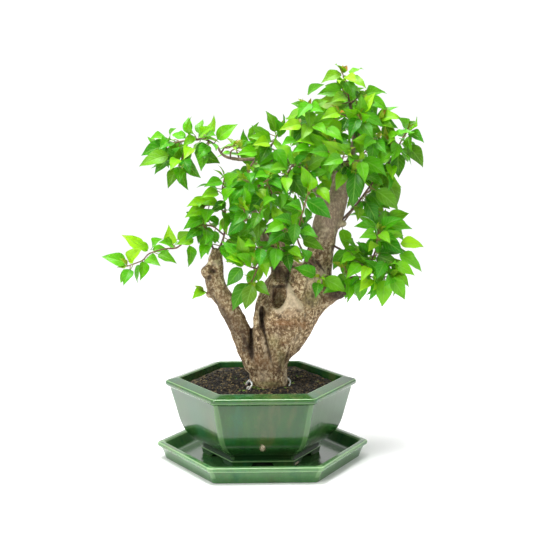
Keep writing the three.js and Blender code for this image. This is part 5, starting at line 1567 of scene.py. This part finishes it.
def makeSpray(name, twigs, leaves, taken):
    # twigs with their petioles are one piece and all blades another; taken lists the places that
    # leaves already fill
    node = "spray_" + name
    paths = [twigPath(stops, index) for index, stops in enumerate(twigs)]
    stems, ages = [], []
    for index, path in enumerate(paths):
        thick, thin = leafShape["twig"]
        thick = thick if index == 0 else 0.75 * thick
        width = np.linspace(thick, thin, len(path))
        # a low swelling at each node, about 8 mm apart
        run = np.concatenate([[0], np.cumsum(np.linalg.norm(np.diff(path, axis=0), axis=1))])
        width = width * (1 + 0.16 * np.cos(run / 8 * 2 * math.pi) ** 8)
        stems.append(tube(path, width, width, leafShape["twigSides"]))
        age = np.repeat(np.linspace(0.75, 0.3, len(path)), leafShape["twigSides"])
        ages.append(np.concatenate([age, [0.75, 0.3]]))
    extra, taken = extraLeaves(name, leaves, paths, taken)
    tips = tipLeaves(paths)
    groups = [leaves] + ([archedLeaves(*extra)] if extra else []) + [archedLeaves(*tips)]
    isTip = np.concatenate([np.full(len(g["tip"]), g is groups[-1]) for g in groups])
    every = {key: np.concatenate([g[key] for g in groups]) for key in leaves}
    count = len(isTip)
    # painted shade: leaves with others above and before them get a darker tint
    middle = (every["base"] + every["tip"]) / 2
    away = middle[None] - middle[:, None]
    shading = (np.hypot(away[..., 0], away[..., 1] + 6) < 16) & (away[..., 2] > 3)
    shade = np.minimum(shading.sum(1) / 9, 1)
    tint = np.clip(draws.normal(0.52, 0.2, count) - 0.32 * shade, 0, 1)
    high = every["tip"][:, 2]
    young = np.clip(draws.normal(0.08, 0.16, count) + 0.2 * smoothStep(330, 400, high), 0, 0.7)
    reddish = draws.uniform(0.4, 0.75, count) + 0.3 * smoothStep(300, 390, high)
    young = np.where(isTip, np.clip(reddish, 0, 1), young)
    ripple = leafShape["ripple"] * draws.uniform(0.3, 1.2, count)
    points, faces, uv, tints, youngs = bladeGrids(every, tint, young, ripple)
    makePiece(
        node + "_leaves",
        points,
        faces,
        leafMaterial,
        [node],
        {"tint": tints, "young": youngs},
        uv,
    )
    petioles, petioleFaces, petioleAges = petioleTubes(every, draws.uniform(0.0, 0.35, count))
    stems.append((petioles, petioleFaces))
    ages.append(petioleAges)
    stemPoints, stemFaces = stack(stems)
    makePiece(
        node + "_stems",
        stemPoints,
        stemFaces,
        stemMaterial,
        (),
        {"age": np.concatenate(ages)},
    )
    return count, taken


def makeCrown():
    kept = {name: readLeaves("spray_" + name) for name in sprays}
    taken = np.concatenate(
        [
            np.concatenate([leaves["crown"], (leaves["base"] + 2 * leaves["tip"]) / 3])
            for leaves in kept.values()
        ]
    )
    total = 0
    for name, twigs in sprays.items():
        count, taken = makeSpray(name, twigs, kept[name], taken)
        total += count
    print("stage: foliage with", total, "leaves")


makeCrown()

# Studio: a plain pale floor, a soft light above and two from the front, pale all round
studio = {
    "floorRadius": 1.35,
    "roomLight": 0.24,
    "sweepLight": 1.04,
    # place, what it points at, size and power in watts
    "lamps": {
        "overhead": ((-0.2, -0.1, 1.6), (0.02, 0.0, 0.2), 0.8, 36),
        "frontLeft": ((-1.5, -1.7, 1.3), (0.0, 0.0, 0.2), 0.7, 34),
        "frontRight": ((1.8, -1.0, 0.9), (0.0, 0.0, 0.2), 0.9, 9),
    },
}
floorMesh = bpy.data.meshes.new("floor")
floorRim = np.linspace(0, 2 * math.pi, 96, endpoint=False)
floorRadius = studio["floorRadius"]
floorPoints = [(floorRadius * math.cos(a), floorRadius * math.sin(a), 0) for a in floorRim]
floorMesh.from_pydata(floorPoints, [], [list(range(len(floorPoints)))])
floor = bpy.data.objects.new("floor", floorMesh)
bpy.context.scene.collection.objects.link(floor)
paper, paperTree = newMaterial("palePaperFloor")
paperShader = add(paperTree, "BsdfPrincipled", {"Base Color": "#fbfbfb", "Roughness": 0.9})
add(paperTree, "OutputMaterial", {"Surface": paperShader})
floorMesh.materials.append(paper)

for name, (at, towards, size, power) in studio["lamps"].items():
    lamp = bpy.data.lights.new(name, "AREA")
    lamp.shape = "SQUARE"
    lamp.size = size
    lamp.energy = power
    light = bpy.data.objects.new(name, lamp)
    bpy.context.scene.collection.objects.link(light)
    away = Vector(at) - Vector(towards)
    light.location = at
    light.rotation_euler = away.to_track_quat("Z", "Y").to_euler()
world = bpy.data.worlds.new("studio")
world.use_nodes = True
# the sweep behind is white, the room in front is dimmer
sky = world.node_tree
sky.nodes.clear()
around = add(sky, "TexCoord")
direction = add(sky, "SeparateXYZ", {"Vector": around.outputs["Generated"]})
backward = add(
    sky,
    "MapRange",
    {
        "Value": direction.outputs["Y"],
        "From Min": -0.7,
        "From Max": 0.75,
        "To Min": studio["roomLight"],
        "To Max": studio["sweepLight"],
    },
)
backdrop = add(sky, "Background", {"Color": "#ffffff", "Strength": backward})
add(sky, "OutputWorld", {"Surface": backdrop})
bpy.context.scene.world = world
bpy.context.scene.view_settings.view_transform = "Standard"
print("stage: studio")
